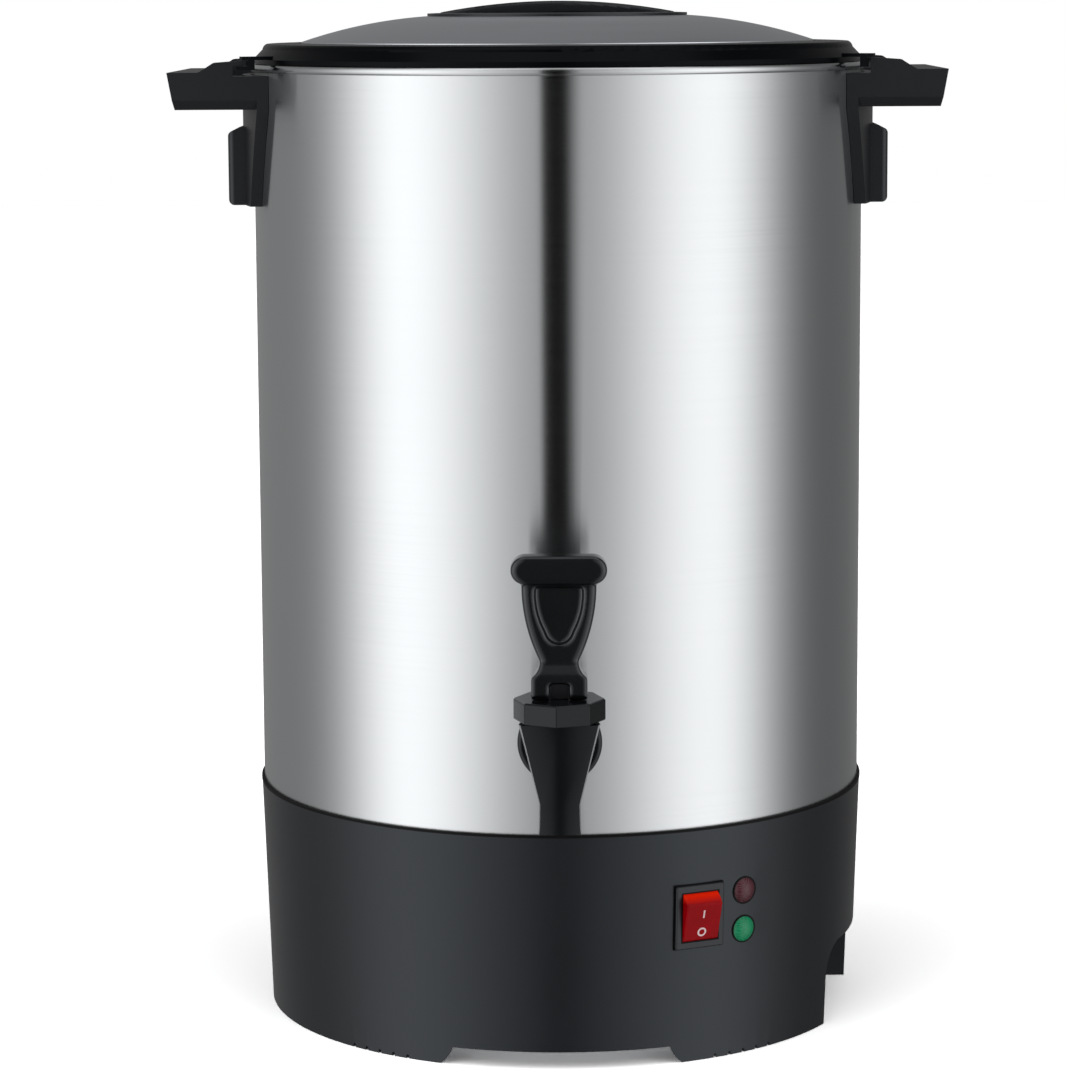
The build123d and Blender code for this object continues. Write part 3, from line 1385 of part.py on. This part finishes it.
with BuildPart() as inlet_wires:
    for step, rise in ((-1, -pin_offset), (0, pin_offset), (1, -pin_offset)):
        y = pocket_middle + step * pin_spacing
        way = block_place[1] + step * block_way_pitch
        fan = step * wire_fan
        with BuildLine():
            route = FilletPolyline(
                (inlet_tail, y, inlet_level + rise), (inlet_tail - wire_exit + fan, y, inlet_level + rise),
                (inlet_tail - inlet_wire_reach + fan, way, block_level), (block_right, way, block_level),
                radius=wire_bend,
            )
        with BuildSketch(Plane(origin=route @ 0, z_dir=route % 0)):
            Circle(wire_radius)
        sweep()
save(inlet_wires.part, "inlet_wires")

with BuildPart() as switch_wires:
    for step in (-1, 1):
        way = block_place[1] + step * block_way_pitch
        tag = Location((step * switch_case[0] / 4, -switch_case[1] / 4, 0))
        side = block_left - switch_wire_reach + step * wire_fan
        bend = switch_tail.offset(-wire_exit)
        with BuildLine():
            route = FilletPolyline(
                (switch_tail.location * tag).position, (bend.location * tag).position,
                (side, way - switch_wire_slope[0], block_level + switch_wire_slope[1]),
                (side, way, block_level), (block_left, way, block_level),
                radius=wire_bend,
            )
        with BuildSketch(Plane(origin=route @ 0, z_dir=route % 0)):
            Circle(wire_radius)
        sweep()
save(switch_wires.part, "switch_wires")
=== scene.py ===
import json
from math import cos, radians, sin, tau

import bmesh
import bpy
from mathutils import Matrix, Vector


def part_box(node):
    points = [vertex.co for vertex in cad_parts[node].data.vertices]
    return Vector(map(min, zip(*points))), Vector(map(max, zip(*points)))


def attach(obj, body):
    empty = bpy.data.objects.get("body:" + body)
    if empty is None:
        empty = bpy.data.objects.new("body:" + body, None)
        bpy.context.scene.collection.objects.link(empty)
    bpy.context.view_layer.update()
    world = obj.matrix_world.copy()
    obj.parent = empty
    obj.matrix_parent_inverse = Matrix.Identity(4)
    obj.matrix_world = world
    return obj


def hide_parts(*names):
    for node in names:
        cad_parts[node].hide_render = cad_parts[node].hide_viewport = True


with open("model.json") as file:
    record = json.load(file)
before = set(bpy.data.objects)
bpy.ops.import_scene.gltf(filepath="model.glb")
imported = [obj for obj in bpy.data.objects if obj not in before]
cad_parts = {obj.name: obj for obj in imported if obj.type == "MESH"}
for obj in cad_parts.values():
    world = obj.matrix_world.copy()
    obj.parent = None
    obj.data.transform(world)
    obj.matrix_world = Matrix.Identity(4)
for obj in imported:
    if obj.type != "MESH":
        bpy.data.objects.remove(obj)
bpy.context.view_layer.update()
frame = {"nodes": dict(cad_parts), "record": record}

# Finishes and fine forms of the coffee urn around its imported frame.
# Metres, +Z up, the tap faces -Y, the origin is on the urn's axis at the floor.

MM = 0.001
scene = bpy.context.scene

# ---- camera ----
IMAGE_WIDTH = 1066
SENSOR = 36.0               # millimetres across
FOCAL_PIXELS = 3626.4
CAMERA_PLACE = Vector((0.0038, -1.8067, 0.5022))
CAMERA_PITCH = 8.524        # degrees below level
CAMERA_YAW = 0.545          # degrees to the left
CAMERA_ROLL = -0.326        # degrees

# ---- studio: two equal soft lights in a dim room, with a dark gap between them in front ----
# Azimuths are in degrees from the tap towards +X.
STUDIO_STRENGTH = 1.84
SOFT_AZIMUTH = 60.0         # of a light's brightest line, on either side
SOFT_LEVEL = 0.8
SOFT_INNER, SOFT_OUTER = 40.0, 28.0     # how far it spreads towards the tap and away from it
ROOM_LEVEL = 0.12
ROOM_LEAN = 0.04            # brighter than that on the left, darker on the right
GAP = ((-5.5, -6.5), (3.0, 9.0))        # from dark to lit, on the left and on the right
OVERHEAD = 0.35             # share of that brightness right above and right below
STEEPNESS = 1.5             # how late the brightness falls off upwards
BACKDROP = 1.0              # the white that the camera sees behind the urn
TOP_LIGHT = {"azimuth": 0, "distance": 0.4, "height": 2.2, "side": 2.0, "power": 7.0, "aim": 0.25}

# ---- floor ----
FLOOR_SIDE = 14.0
FLOOR_TONE = 0.9            # as it lights the urn
FLOOR_SEEN = 2.75           # as the camera sees it
FLOOR_GLOW = 0.02

# ---- rocker marks, over the middle of its broad face ----
MARK_ON, MARK_OFF = 4.3 * MM, -5.2 * MM     # heights
BAR_HALF = (0.42 * MM, 2.0 * MM)
RING_RADII = (2.3 * MM, 1.45 * MM)
MARK_LIFT, MARK_THICK = 0.09 * MM, 0.15 * MM

# ---- switch bezel and lamp lenses as the frame has them ----
BEZEL = (25.5 * MM, 31.0 * MM)
POCKET = (19.1 * MM, 23.6 * MM)     # the rocker's opening in the bezel
BEZEL_PROUD = 2.0 * MM
PIVOT_DEPTH = 4.0 * MM      # from the housing's surface in to the rocker's pivot
LENS_RADIUS = 6.0 * MM
LENS_PROUD = 3.4 * MM
WALL_SLOPE = 0.034          # the housing's wall leans in by this much for each step down

# ---- painted shadow lines in the gaps round the bezel, the rocker and the lenses: past the edge outwards, past it inwards, lift, thickness ----
BEZEL_SHADOW = (0.25 * MM, 0.1 * MM, 0.3 * MM, 0.8 * MM)
POCKET_SHADOW = (0.5 * MM, 0.08 * MM, 0.08 * MM, 0.3 * MM)
LENS_SHADOW = (0.8 * MM, 0.1 * MM, 0.3 * MM, 0.8 * MM)

# ---- height of the rocker's top edge, and the band over which its colour changes to the painted highlight ----
ROCKER_TOP, ROCKER_HIGHLIGHT_FADE = 0.0805, 0.0016

# ---- the lever's blended edges ----
LEVER_VOXEL = 0.45          # millimetres
LEVER_ROUNDS = 34

# ---- edge radii of the moulded parts, in millimetres ----
ROUNDED = {
    "handle_left": 0.9, "handle_right": 0.9, "tap_bonnet": 0.5, "tap_body": 0.5, "lid_rim": 0.5,
    "lid_handle": 0.8, "switch_body": 0.4, "switch_rocker": 0.6, "inlet_socket": 0.5,
    "terminal_block": 0.4, "rubber_feet": 0.5,
}
EDGE_ANGLE = radians(28)    # edges sharper than this are rounded
EDGE_SEGMENTS = 3

# ======================= small tools =======================


class Finish:
    """A node material round one Principled shader, with uniform values on its own sockets."""

    def __init__(self, name, **sockets):
        self.material = bpy.data.materials.new(name)
        self.material.use_nodes = True
        self.tree = self.material.node_tree
        self.shader = self.tree.nodes["Principled BSDF"]
        for socket, value in sockets.items():
            self.shader.inputs[socket.replace("_", " ")].default_value = value

    def node(self, kind, inputs=None, **settings):
        """Add a node; inputs holds values or the sockets that feed it."""
        made = self.tree.nodes.new(kind)
        for key, value in settings.items():
            setattr(made, key, value)
        for key, value in (inputs or {}).items():
            if isinstance(value, bpy.types.NodeSocket):
                self.tree.links.new(value, made.inputs[key])
            else:
                made.inputs[key].default_value = value
        return made

    def feed(self, socket, output):
        self.tree.links.new(output, self.shader.inputs[socket])

    def coords(self, stretch=(1, 1, 1)):
        """Object coordinates, stretched along each axis."""
        place = self.node("ShaderNodeTexCoord").outputs["Object"]
        return self.node("ShaderNodeMapping", {"Vector": place, "Scale": stretch}).outputs[0]

    def noise(self, scale, stretch=(1, 1, 1), detail=3.0, rough=0.55):
        """Noise from 0 to 1, scale in features to the metre."""
        made = self.node(
            "ShaderNodeTexNoise",
            {"Vector": self.coords(stretch), "Scale": scale, "Detail": detail, "Roughness": rough},
        )
        return made.outputs["Fac"]

    def between(self, amount, low, high):
        """Map 0..1 to low..high."""
        made = self.node("ShaderNodeMapRange", {"Value": amount, "To Min": low, "To Max": high})
        return made.outputs["Result"]

    def tint(self, amount, dark, light):
        """Blend two colours."""
        made = self.node("ShaderNodeMix", data_type="RGBA")
        self.tree.links.new(amount, made.inputs["Factor"])
        made.inputs["A"].default_value = (*dark, 1)
        made.inputs["B"].default_value = (*light, 1)
        return made.outputs["Result"]

    def bump(self, height, depth, strength=1.0):
        """Raise the surface by depth in metres where height is 1."""
        made = self.node(
            "ShaderNodeBump", {"Strength": strength, "Distance": depth, "Height": height}
        )
        self.feed("Normal", made.outputs["Normal"])


def shades(tone, low, high):
    """A tone made darker and lighter."""
    return [low * part for part in tone], [high * part for part in tone]


# ======================= materials =======================


def brushed_steel(name, tone, roughness, lines, anisotropic):
    """Steel brushed round the urn's axis: fine level lines and a highlight drawn out upwards."""
    made = Finish(
        name, Metallic=1.0, Roughness=roughness, Anisotropic=anisotropic, Anisotropic_Rotation=0.25
    )
    streak = made.noise(1.0, stretch=(6, 6, lines), detail=4.0)
    patch = made.noise(9.0, detail=2.0)
    both = made.node("ShaderNodeMath", {0: streak, 1: patch}, operation="ADD").outputs[0]
    half = made.between(both, 0.0, 0.5)
    made.feed("Base Color", made.tint(half, *shades(tone, 0.93, 1.05)))
    made.feed("Roughness", made.between(streak, roughness - 0.04, roughness + 0.05))
    tangent = made.node("ShaderNodeTangent", direction_type="RADIAL", axis="Z")
    made.feed("Tangent", tangent.outputs[0])
    made.bump(streak, 0.00002, 0.25)
    return made.material


def plastic(name, tone, roughness, grain=0.0, grain_depth=0.0, shine=0.5, cast=(1, 1, 1)):
    """Moulded plastic with a faint spark-eroded grain; shine and cast set its reflections."""
    made = Finish(name, Roughness=roughness, Specular_IOR_Level=shine, Specular_Tint=(*cast, 1))
    patch = made.noise(14.0, detail=3.0)
    made.feed("Base Color", made.tint(patch, *shades(tone, 0.9, 1.1)))
    made.feed("Roughness", made.between(patch, roughness - 0.03, roughness + 0.04))
    if grain:
        made.bump(made.noise(grain, detail=2.0), grain_depth, 0.5)
    return made.material


def metal(name, tone, roughness, grain=300.0):
    """Plain metal with small changes of tone and finish."""
    made = Finish(name, Metallic=1.0, Roughness=roughness)
    patch = made.noise(grain, detail=3.0)
    made.feed("Base Color", made.tint(patch, *shades(tone, 0.88, 1.08)))
    made.feed("Roughness", made.between(patch, roughness - 0.05, roughness + 0.08))
    return made.material


def lens_plastic(name, tone, glow, glow_strength, roughness, pitch):
    """Translucent coloured lens with a fine crossed ribbing, its pitch in millimetres; its colour
    darkens and lightens along the ribs, painted shade and highlight.
    """
    made = Finish(
        name, Roughness=roughness, Specular_IOR_Level=0.5,
        Emission_Color=(*glow, 1), Emission_Strength=glow_strength, Transmission_Weight=0.15,
    )
    ribs = []
    for turn in (radians(38), radians(-38)):
        place = made.node("ShaderNodeTexCoord").outputs["Object"]
        turned = made.node(
            "ShaderNodeMapping", {"Vector": place, "Rotation": (turn, 0, radians(35))}
        )
        ribs.append(
            made.node(
                "ShaderNodeTexWave", {"Vector": turned.outputs[0], "Scale": 0.314 / (pitch * MM)},
                bands_direction="Z",
            ).outputs["Fac"]
        )
    both = made.node("ShaderNodeMath", dict(enumerate(ribs)), operation="MULTIPLY").outputs[0]
    # painted shade and highlight: the colour darkens in the ribs' grooves and lightens on their
    # crests
    made.feed("Base Color", made.tint(both, *shades(tone, 0.45, 1.7)))
    made.bump(both, 0.15 * MM, 0.8)
    return made.material


def rocker_plastic(name, tone, highlight_tone):
    """Translucent red plastic, faintly lit by the lamp inside, with a painted highlight: lighter
    and more orange towards its top edge.
    """
    made = Finish(name, Roughness=0.2, Specular_IOR_Level=0.09, Emission_Strength=0.14)
    place = made.node("ShaderNodeTexCoord")
    height = made.node("ShaderNodeSeparateXYZ", {0: place.outputs["Object"]}).outputs["Z"]
    # past the top edge the colour and the glow turn to the painted highlight of the top facet
    low, high = ROCKER_TOP - ROCKER_HIGHLIGHT_FADE, ROCKER_TOP + ROCKER_HIGHLIGHT_FADE
    share = made.node(
        "ShaderNodeMapRange", {"Value": height, "From Min": low, "From Max": high}
    ).outputs[0]
    cloud = made.noise(160.0, detail=2.0)
    colour = made.node("ShaderNodeMix", data_type="RGBA")
    made.tree.links.new(share, colour.inputs["Factor"])
    made.tree.links.new(made.tint(cloud, *shades(tone, 0.75, 1.15)), colour.inputs["A"])
    colour.inputs["B"].default_value = (*highlight_tone, 1)
    made.feed("Base Color", colour.outputs["Result"])
    made.feed("Emission Color", colour.outputs["Result"])
    return made.material


# Nodes that look different from the rest of their slot; the stem's near-black finish is painted
# shade.
OWN_FINISH = {
    "tap_body": "tap_black", "tap_flange": "tap_black", "tap_bonnet": "bonnet_black",
    "tap_lever": "lever_black", "tap_stem": "stem_painted_shade", "lid_rim": "lid_black",
    "lid_handle": "grip_black", "seam_ring": "seam_black_and_painted_shadow",
}

MATERIALS = {
    "brushed_tank": brushed_steel("brushed_tank", (0.62, 0.635, 0.645), 0.20, 1400.0, 1.0),
    "dome_steel": brushed_steel("dome_steel", (0.74, 0.77, 0.81), 0.32, 500.0, 0.3),
    "inner_steel": metal("inner_steel", (0.62, 0.62, 0.61), 0.32),
    "base_plastic": plastic(
        "base_plastic", (0.0062, 0.0072, 0.0092), 0.30, 2600.0, 0.00006, 0.5, (0.86, 0.928, 1.0)
    ),
    "black_plastic": plastic(
        "black_plastic", (0.0072, 0.0080, 0.0094), 0.32, 2200.0, 0.00004, 0.5, (0.90, 0.94, 1.0)
    ),
    "tap_black": plastic(
        "tap_black", (0.0030, 0.0034, 0.0040), 0.22, shine=0.42, cast=(0.9, 0.96, 1.0)
    ),
    "bonnet_black": plastic(
        "bonnet_black", (0.0034, 0.0038, 0.0046), 0.2, shine=0.3, cast=(0.9, 0.96, 1.0)
    ),
    "lever_black": plastic(
        "lever_black", (0.0018, 0.0020, 0.0024), 0.2, shine=0.75, cast=(0.92, 0.97, 1.0)
    ),
    "lid_black": plastic(
        "lid_black", (0.0014, 0.0018, 0.0024), 0.24, shine=0.07, cast=(0.85, 0.93, 1.0)
    ),
    "grip_black": plastic(
        "grip_black", (0.0055, 0.0062, 0.0075), 0.32, 2200.0, 0.00004, 0.5, (0.9, 0.96, 1.0)
    ),
    # the steel stem made near-black: painted shade in the gap between the lever's fork legs
    "stem_painted_shade": metal("stem_painted_shade", (0.035, 0.036, 0.04), 0.35),
    # near-black: the seam ring's colour, and painted shadow in the gaps round the switch and the
    # lamps
    "seam_black_and_painted_shadow": plastic("seam_black_and_painted_shadow", (0.001, 0.001, 0.0013), 0.5, shine=0.15),
    "seal_black": plastic("seal_black", (0.008, 0.008, 0.008), 0.6),
    "seal_clear": plastic("seal_clear", (0.62, 0.62, 0.58), 0.45),
    "fastener": metal("fastener", (0.5, 0.5, 0.5), 0.35),
    "plate_steel": metal("plate_steel", (0.36, 0.37, 0.38), 0.45, 120.0),
    "brass_part": metal("brass_part", (0.75, 0.55, 0.22), 0.3),
    # the second colour is the painted highlight along the rocker's top edge
    "switch_red": rocker_plastic("switch_red", (0.30, 0.0003, 0.003), (0.80, 0.016, 0.001)),
    "lamp_red": lens_plastic(
        "lamp_red", (0.13, 0.028, 0.042), (0.3, 0.02, 0.05), 0.02, 0.22, 0.55
    ),
    "lamp_green": lens_plastic(
        "lamp_green", (0.002, 0.26, 0.11), (0.0, 0.9, 0.35), 0.07, 0.18, 0.55
    ),
    "heater_alloy": metal("heater_alloy", (0.55, 0.55, 0.54), 0.5, 200.0),
    "insulator": plastic("insulator", (0.7, 0.68, 0.62), 0.5),
    "mark_white": plastic("mark_white", (0.9, 0.70, 0.70), 0.4),
    "wire_sheath": plastic("wire_sheath", (0.05, 0.05, 0.055), 0.4),
}


def finish_of(node, slot):
    """A node's own finish where it has one, or else its slot's."""
    return MATERIALS[OWN_FINISH.get(node, slot)]


def dress_nodes():
    """Give every CAD node its finish."""
    for entry in frame["record"]["subparts"]:
        mesh = frame["nodes"][entry["node"]].data
        mesh.materials.clear()
        mesh.materials.append(finish_of(entry["node"], entry["material_slot"]))


# ======================= pieces =======================

BODIES = frame["record"]["behaviour"]["bodies"]
BODY_OF = {node: body for body, nodes in BODIES.items() for node in nodes}
SLOT_OF = {entry["node"]: entry["material_slot"] for entry in frame["record"]["subparts"]}


def new_piece(name, mesh, body, material):
    """Link a mesh as a piece that rides on a body."""
    piece = bpy.data.objects.new(name, mesh)
    scene.collection.objects.link(piece)
    mesh.materials.clear()
    mesh.materials.append(material)
    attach(piece, body)
    return piece


def outline_mesh(node, name):
    """Copy of a CAD node's mesh with its flat faces whole again."""
    made = bmesh.new()
    made.from_mesh(frame["nodes"][node].data)
    bmesh.ops.remove_doubles(made, verts=made.verts, dist=0.005 * MM)
    bmesh.ops.dissolve_limit(made, angle_limit=radians(0.5), verts=made.verts, edges=made.edges)
    for face in made.faces:
        face.smooth = True
    for edge in made.edges:
        edge.smooth = True
    mesh = bpy.data.meshes.new(name)
    made.to_mesh(mesh)
    made.free()
    custom = mesh.attributes.get("custom_normal")
    if custom:
        mesh.attributes.remove(custom)
    return mesh


def round_edges(node, width):
    """Stand a copy with rounded edges in a CAD node's place."""
    slot = SLOT_OF[node]
    mesh = outline_mesh(node, node + "_rounded")
    piece = new_piece(node + "_rounded", mesh, BODY_OF[node], finish_of(node, slot))
    bevel = piece.modifiers.new("edges", "BEVEL")
    bevel.width = width * MM
    bevel.segments = EDGE_SEGMENTS
    bevel.limit_method = "ANGLE"
    bevel.angle_limit = EDGE_ANGLE
    even = piece.modifiers.new("even", "WEIGHTED_NORMAL")
    even.weight = 80
    even.keep_sharp = False
    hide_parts(node)
    return piece


def soft_moulding(node, voxel, rounds):
    """Stand a moulding with blended edges and corners in a CAD node's place."""
    name, slot = node + "_moulded", SLOT_OF[node]
    piece = new_piece(name, outline_mesh(node, name), BODY_OF[node], finish_of(node, slot))
    remesh = piece.modifiers.new("remesh", "REMESH")
    remesh.mode = "VOXEL"
    remesh.voxel_size = voxel * MM
    remesh.use_smooth_shade = True
    smooth = piece.modifiers.new("blend", "SMOOTH")
    smooth.factor = 0.5
    smooth.iterations = rounds
    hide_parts(node)
    return piece


def facet(node, outward):
    """Middle, normal and axes of a node's largest flat face that looks outwards."""
    mesh = frame["nodes"][node].data
    groups = {}
    for face in mesh.polygons:
        if face.normal.dot(outward) > 0.7:
            key = tuple(round(part, 2) for part in face.normal)
            groups.setdefault(key, []).append(face)
    chosen = max(groups.values(), key=lambda faces: sum(face.area for face in faces))
    area = sum(face.area for face in chosen)
    middle = sum((face.center * face.area for face in chosen), Vector()) / area
    normal = sum((face.normal * face.area for face in chosen), Vector()).normalized()
    right = Vector((-outward.y, outward.x, 0)).normalized()
    return middle, normal, right, normal.cross(right).normalized()


def flat_ring(made, place, right, up, normal, outer, inner, lift, thick, sides=40):
    """Add a flat ring (or an oblong frame, where outer and inner are pairs) to a bmesh."""
    def loop(size, level):
        if isinstance(size, tuple):
            signs = ((1, 1), (-1, 1), (-1, -1), (1, -1))
            spots = [(size[0] * a, size[1] * b) for a, b in signs]
        else:
            turns = [tau * k / sides for k in range(sides)]
            spots = [(size * cos(turn), size * sin(turn)) for turn in turns]
        return [made.verts.new(place + right * a + up * b + normal * level) for a, b in spots]

    steps = ((outer, lift - thick), (outer, lift), (inner, lift), (inner, lift - thick))
    loops = [loop(*step) for step in steps]
    count = len(loops[0])
    for one, two in zip(loops, loops[1:] + loops[:1]):
        for k in range(count):
            made.faces.new((one[k], one[(k + 1) % count], two[(k + 1) % count], two[k]))


def mesh_piece(made, name, body, material):
    """Turn a bmesh into a piece."""
    bmesh.ops.recalc_face_normals(made, faces=made.faces)
    mesh = bpy.data.meshes.new(name)
    made.to_mesh(mesh)
    made.free()
    new_piece(name, mesh, body, material)


def plain_bar(made, place, right, up, normal, half, lift, thick):
    """Add a thin upright bar to a bmesh; half is half its width and height."""
    corners = []
    for level in (lift - thick, lift):
        for a, b in ((-1, -1), (1, -1), (1, 1), (-1, 1)):
            spot = place + right * a * half[0] + up * b * half[1] + normal * level
            corners.append(made.verts.new(spot))
    sides = ((3, 2, 1, 0), (4, 5, 6, 7), (0, 1, 5, 4), (1, 2, 6, 5), (2, 3, 7, 6), (3, 0, 4, 7))
    for order in sides:
        made.faces.new([corners[k] for k in order])


def outwards(node):
    """Level direction from the urn's axis to a node's middle."""
    low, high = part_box(node)
    middle = (Vector(low) + Vector(high)) / 2
    return Vector((middle.x, middle.y, 0)).normalized()


def rocker_marks():
    """The marks for on and off, printed on the rocker's broad face."""
    middle, normal, right, up = facet("switch_rocker", outwards("switch_rocker"))
    made = bmesh.new()
    on, off = middle + up * MARK_ON, middle + up * MARK_OFF
    plain_bar(made, on, right, up, normal, BAR_HALF, MARK_LIFT, MARK_THICK)
    flat_ring(made, off, right, up, normal, *RING_RADII, MARK_LIFT, MARK_THICK)
    mesh_piece(made, "rocker_marks", "rocker", MATERIALS["mark_white"])


def shadow_gap_lines():
    """Thin dark lines round the switch bezel, the rocker's opening and the lamp lenses: painted
    shadow in the gaps there.
    """
    made = bmesh.new()
    joints = {joint["name"]: joint for joint in frame["record"]["behaviour"]["joints"]}
    rocker = joints["power_rocker"]
    right = -Vector(rocker["axis"])
    normal = Vector((right.y, -right.x, -WALL_SLOPE)).normalized()
    face = Vector(rocker["pos_m"]) + normal * PIVOT_DEPTH
    # dark frames round the bezel and the rocker's opening: painted shadow in the gaps
    frames = ((face, BEZEL, BEZEL_SHADOW), (face + normal * BEZEL_PROUD, POCKET, POCKET_SHADOW))
    for place, sides, (past, within, lift, thick) in frames:
        outer = tuple(side / 2 + past for side in sides)
        inner = tuple(side / 2 - within for side in sides)
        flat_ring(made, place, right, normal.cross(right), normal, outer, inner, lift, thick)
    # dark rings round the lenses: painted shadow in the gaps
    past, within, lift, thick = LENS_SHADOW
    for node in ("lamp_lens_red", "lamp_lens_green"):
        outward = outwards(node)
        corners = frame["nodes"][node].data.vertices
        reach = max(vertex.co.dot(outward) for vertex in corners)
        centre = sum((Vector(corner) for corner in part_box(node)), Vector()) / 2
        place = centre + outward * (reach - LENS_PROUD - centre.dot(outward))
        right = Vector((-outward.y, outward.x, 0))
        tilted = (outward - Vector((0, 0, WALL_SLOPE))).normalized()
        up = tilted.cross(right)
        outer, inner = LENS_RADIUS + past, LENS_RADIUS - within
        flat_ring(made, place, right, up, tilted, outer, inner, lift, thick)
    mesh_piece(made, "shadow_gap_lines", "urn", MATERIALS["seam_black_and_painted_shadow"])


# ======================= camera, stage and light =======================


def make_camera():
    """A long lens at the front, a little over the rim's height, aimed down at the tank."""
    data = bpy.data.cameras.new("front")
    data.sensor_fit = "HORIZONTAL"
    data.sensor_width = SENSOR
    data.lens = FOCAL_PIXELS / IMAGE_WIDTH * SENSOR
    data.clip_end = 50.0
    data.dof.use_dof = False
    camera = bpy.data.objects.new("front", data)
    yaw = Matrix.Rotation(radians(CAMERA_YAW), 4, "Z")
    pitch = Matrix.Rotation(radians(90 - CAMERA_PITCH), 4, "X")
    roll = Matrix.Rotation(radians(CAMERA_ROLL), 4, "Z")
    camera.matrix_world = Matrix.Translation(CAMERA_PLACE) @ (yaw @ pitch) @ roll
    scene.collection.objects.link(camera)
    scene.camera = camera


def make_floor():
    """A plain pale floor with a soft shadow, brighter to the camera than to the urn.

    The tank mirrors the studio instead of it.
    """
    bpy.ops.mesh.primitive_plane_add(size=FLOOR_SIDE, location=(0, 0, 0))
    floor = bpy.context.object
    floor.name = "floor"
    tone, seen_tone = (*[FLOOR_TONE] * 3, 1), (*[FLOOR_SEEN] * 3, 1)
    finish = Finish("floor", Roughness=0.7, Base_Color=tone, Specular_IOR_Level=0.0)
    out = finish.tree.nodes["Material Output"]
    glow = finish.node("ShaderNodeEmission", {"Strength": FLOOR_GLOW})
    pale = finish.node("ShaderNodeBsdfDiffuse", {"Color": seen_tone})
    path = finish.node("ShaderNodeLightPath")
    bright = finish.node("ShaderNodeAddShader", {0: pale.outputs[0], 1: glow.outputs[0]})
    seen = finish.node(
        "ShaderNodeMixShader",
        {0: path.outputs["Is Camera Ray"], 1: finish.shader.outputs[0], 2: bright.outputs[0]},
    )
    finish.tree.links.new(seen.outputs[0], out.inputs["Surface"])
    floor.data.materials.append(finish.material)
    floor.visible_glossy = False


def make_world():
    """Soft studio: two broad lights beside the urn, plain white behind it for the camera."""
    world = bpy.data.worlds.new("studio")
    scene.world = world
    world.use_nodes = True
    tree = world.node_tree
    tree.nodes.clear()

    def node(kind, inputs=None, **settings):
        made = tree.nodes.new(kind)
        for key, value in settings.items():
            setattr(made, key, value)
        for key, value in (inputs or {}).items():
            if isinstance(value, bpy.types.NodeSocket):
                tree.links.new(value, made.inputs[key])
            else:
                made.inputs[key].default_value = value
        return made

    def maths(operation, *values):
        return node("ShaderNodeMath", dict(enumerate(values)), operation=operation).outputs[0]

    place = node("ShaderNodeTexCoord")
    split = node("ShaderNodeSeparateXYZ", {0: place.outputs["Generated"]})
    azimuth = maths("ARCTAN2", split.outputs["X"], maths("MULTIPLY", split.outputs["Y"], -1.0))
    level = maths("MULTIPLY_ADD", maths("SINE", azimuth), -ROOM_LEAN, ROOM_LEVEL)
    inner, outer = radians(SOFT_INNER), radians(SOFT_OUTER)
    for side in (-1.0, 1.0):
        past = maths("MULTIPLY_ADD", azimuth, side, -radians(SOFT_AZIMUTH))
        spread = maths("MULTIPLY_ADD", maths("GREATER_THAN", past, 0.0), outer - inner, inner)
        ratio = maths("DIVIDE", past, spread)
        fall = maths("MULTIPLY", maths("MULTIPLY", ratio, ratio), -1.0)
        level = maths("MULTIPLY_ADD", maths("EXPONENT", fall), SOFT_LEVEL, level)
    edges = [
        node(
            "ShaderNodeMapRange",
            {"Value": azimuth, "From Min": radians(dark), "From Max": radians(lit)},
        ).outputs[0]
        for dark, lit in GAP
    ]
    level = maths("MULTIPLY", level, maths("MAXIMUM", *edges))
    steep = maths("POWER", maths("ABSOLUTE", split.outputs["Z"]), STEEPNESS)
    dim = maths("MULTIPLY_ADD", steep, OVERHEAD - 1.0, 1.0)
    light = node(
        "ShaderNodeBackground",
        {"Color": level, "Strength": maths("MULTIPLY", dim, STUDIO_STRENGTH)},
    )
    white = node("ShaderNodeBackground", {"Color": (1, 1, 1, 1), "Strength": BACKDROP})
    path = node("ShaderNodeLightPath")
    mix = node(
        "ShaderNodeMixShader",
        {0: path.outputs["Is Camera Ray"], 1: light.outputs[0], 2: white.outputs[0]},
    )
    node("ShaderNodeOutputWorld", {0: mix.outputs[0]})


def area_light(name, azimuth, distance, height, side, power, aim):
    """A soft square light that faces the urn's axis at the height aim."""
    data = bpy.data.lights.new(name, "AREA")
    data.shape = "RECTANGLE"
    data.size = data.size_y = side
    data.energy = power
    lamp = bpy.data.objects.new(name, data)
    turn = radians(azimuth)
    lamp.location = (distance * sin(turn), -distance * cos(turn), height)
    towards = Vector((0, 0, aim)) - lamp.location
    lamp.rotation_euler = towards.to_track_quat("-Z", "Y").to_euler()
    scene.collection.objects.link(lamp)


make_camera()
make_world()
make_floor()
area_light("top", **TOP_LIGHT)
dress_nodes()
for node, width in ROUNDED.items():
    round_edges(node, width)
soft_moulding("tap_lever", LEVER_VOXEL, LEVER_ROUNDS)
rocker_marks()
shadow_gap_lines()
scene.view_settings.view_transform = "Standard"
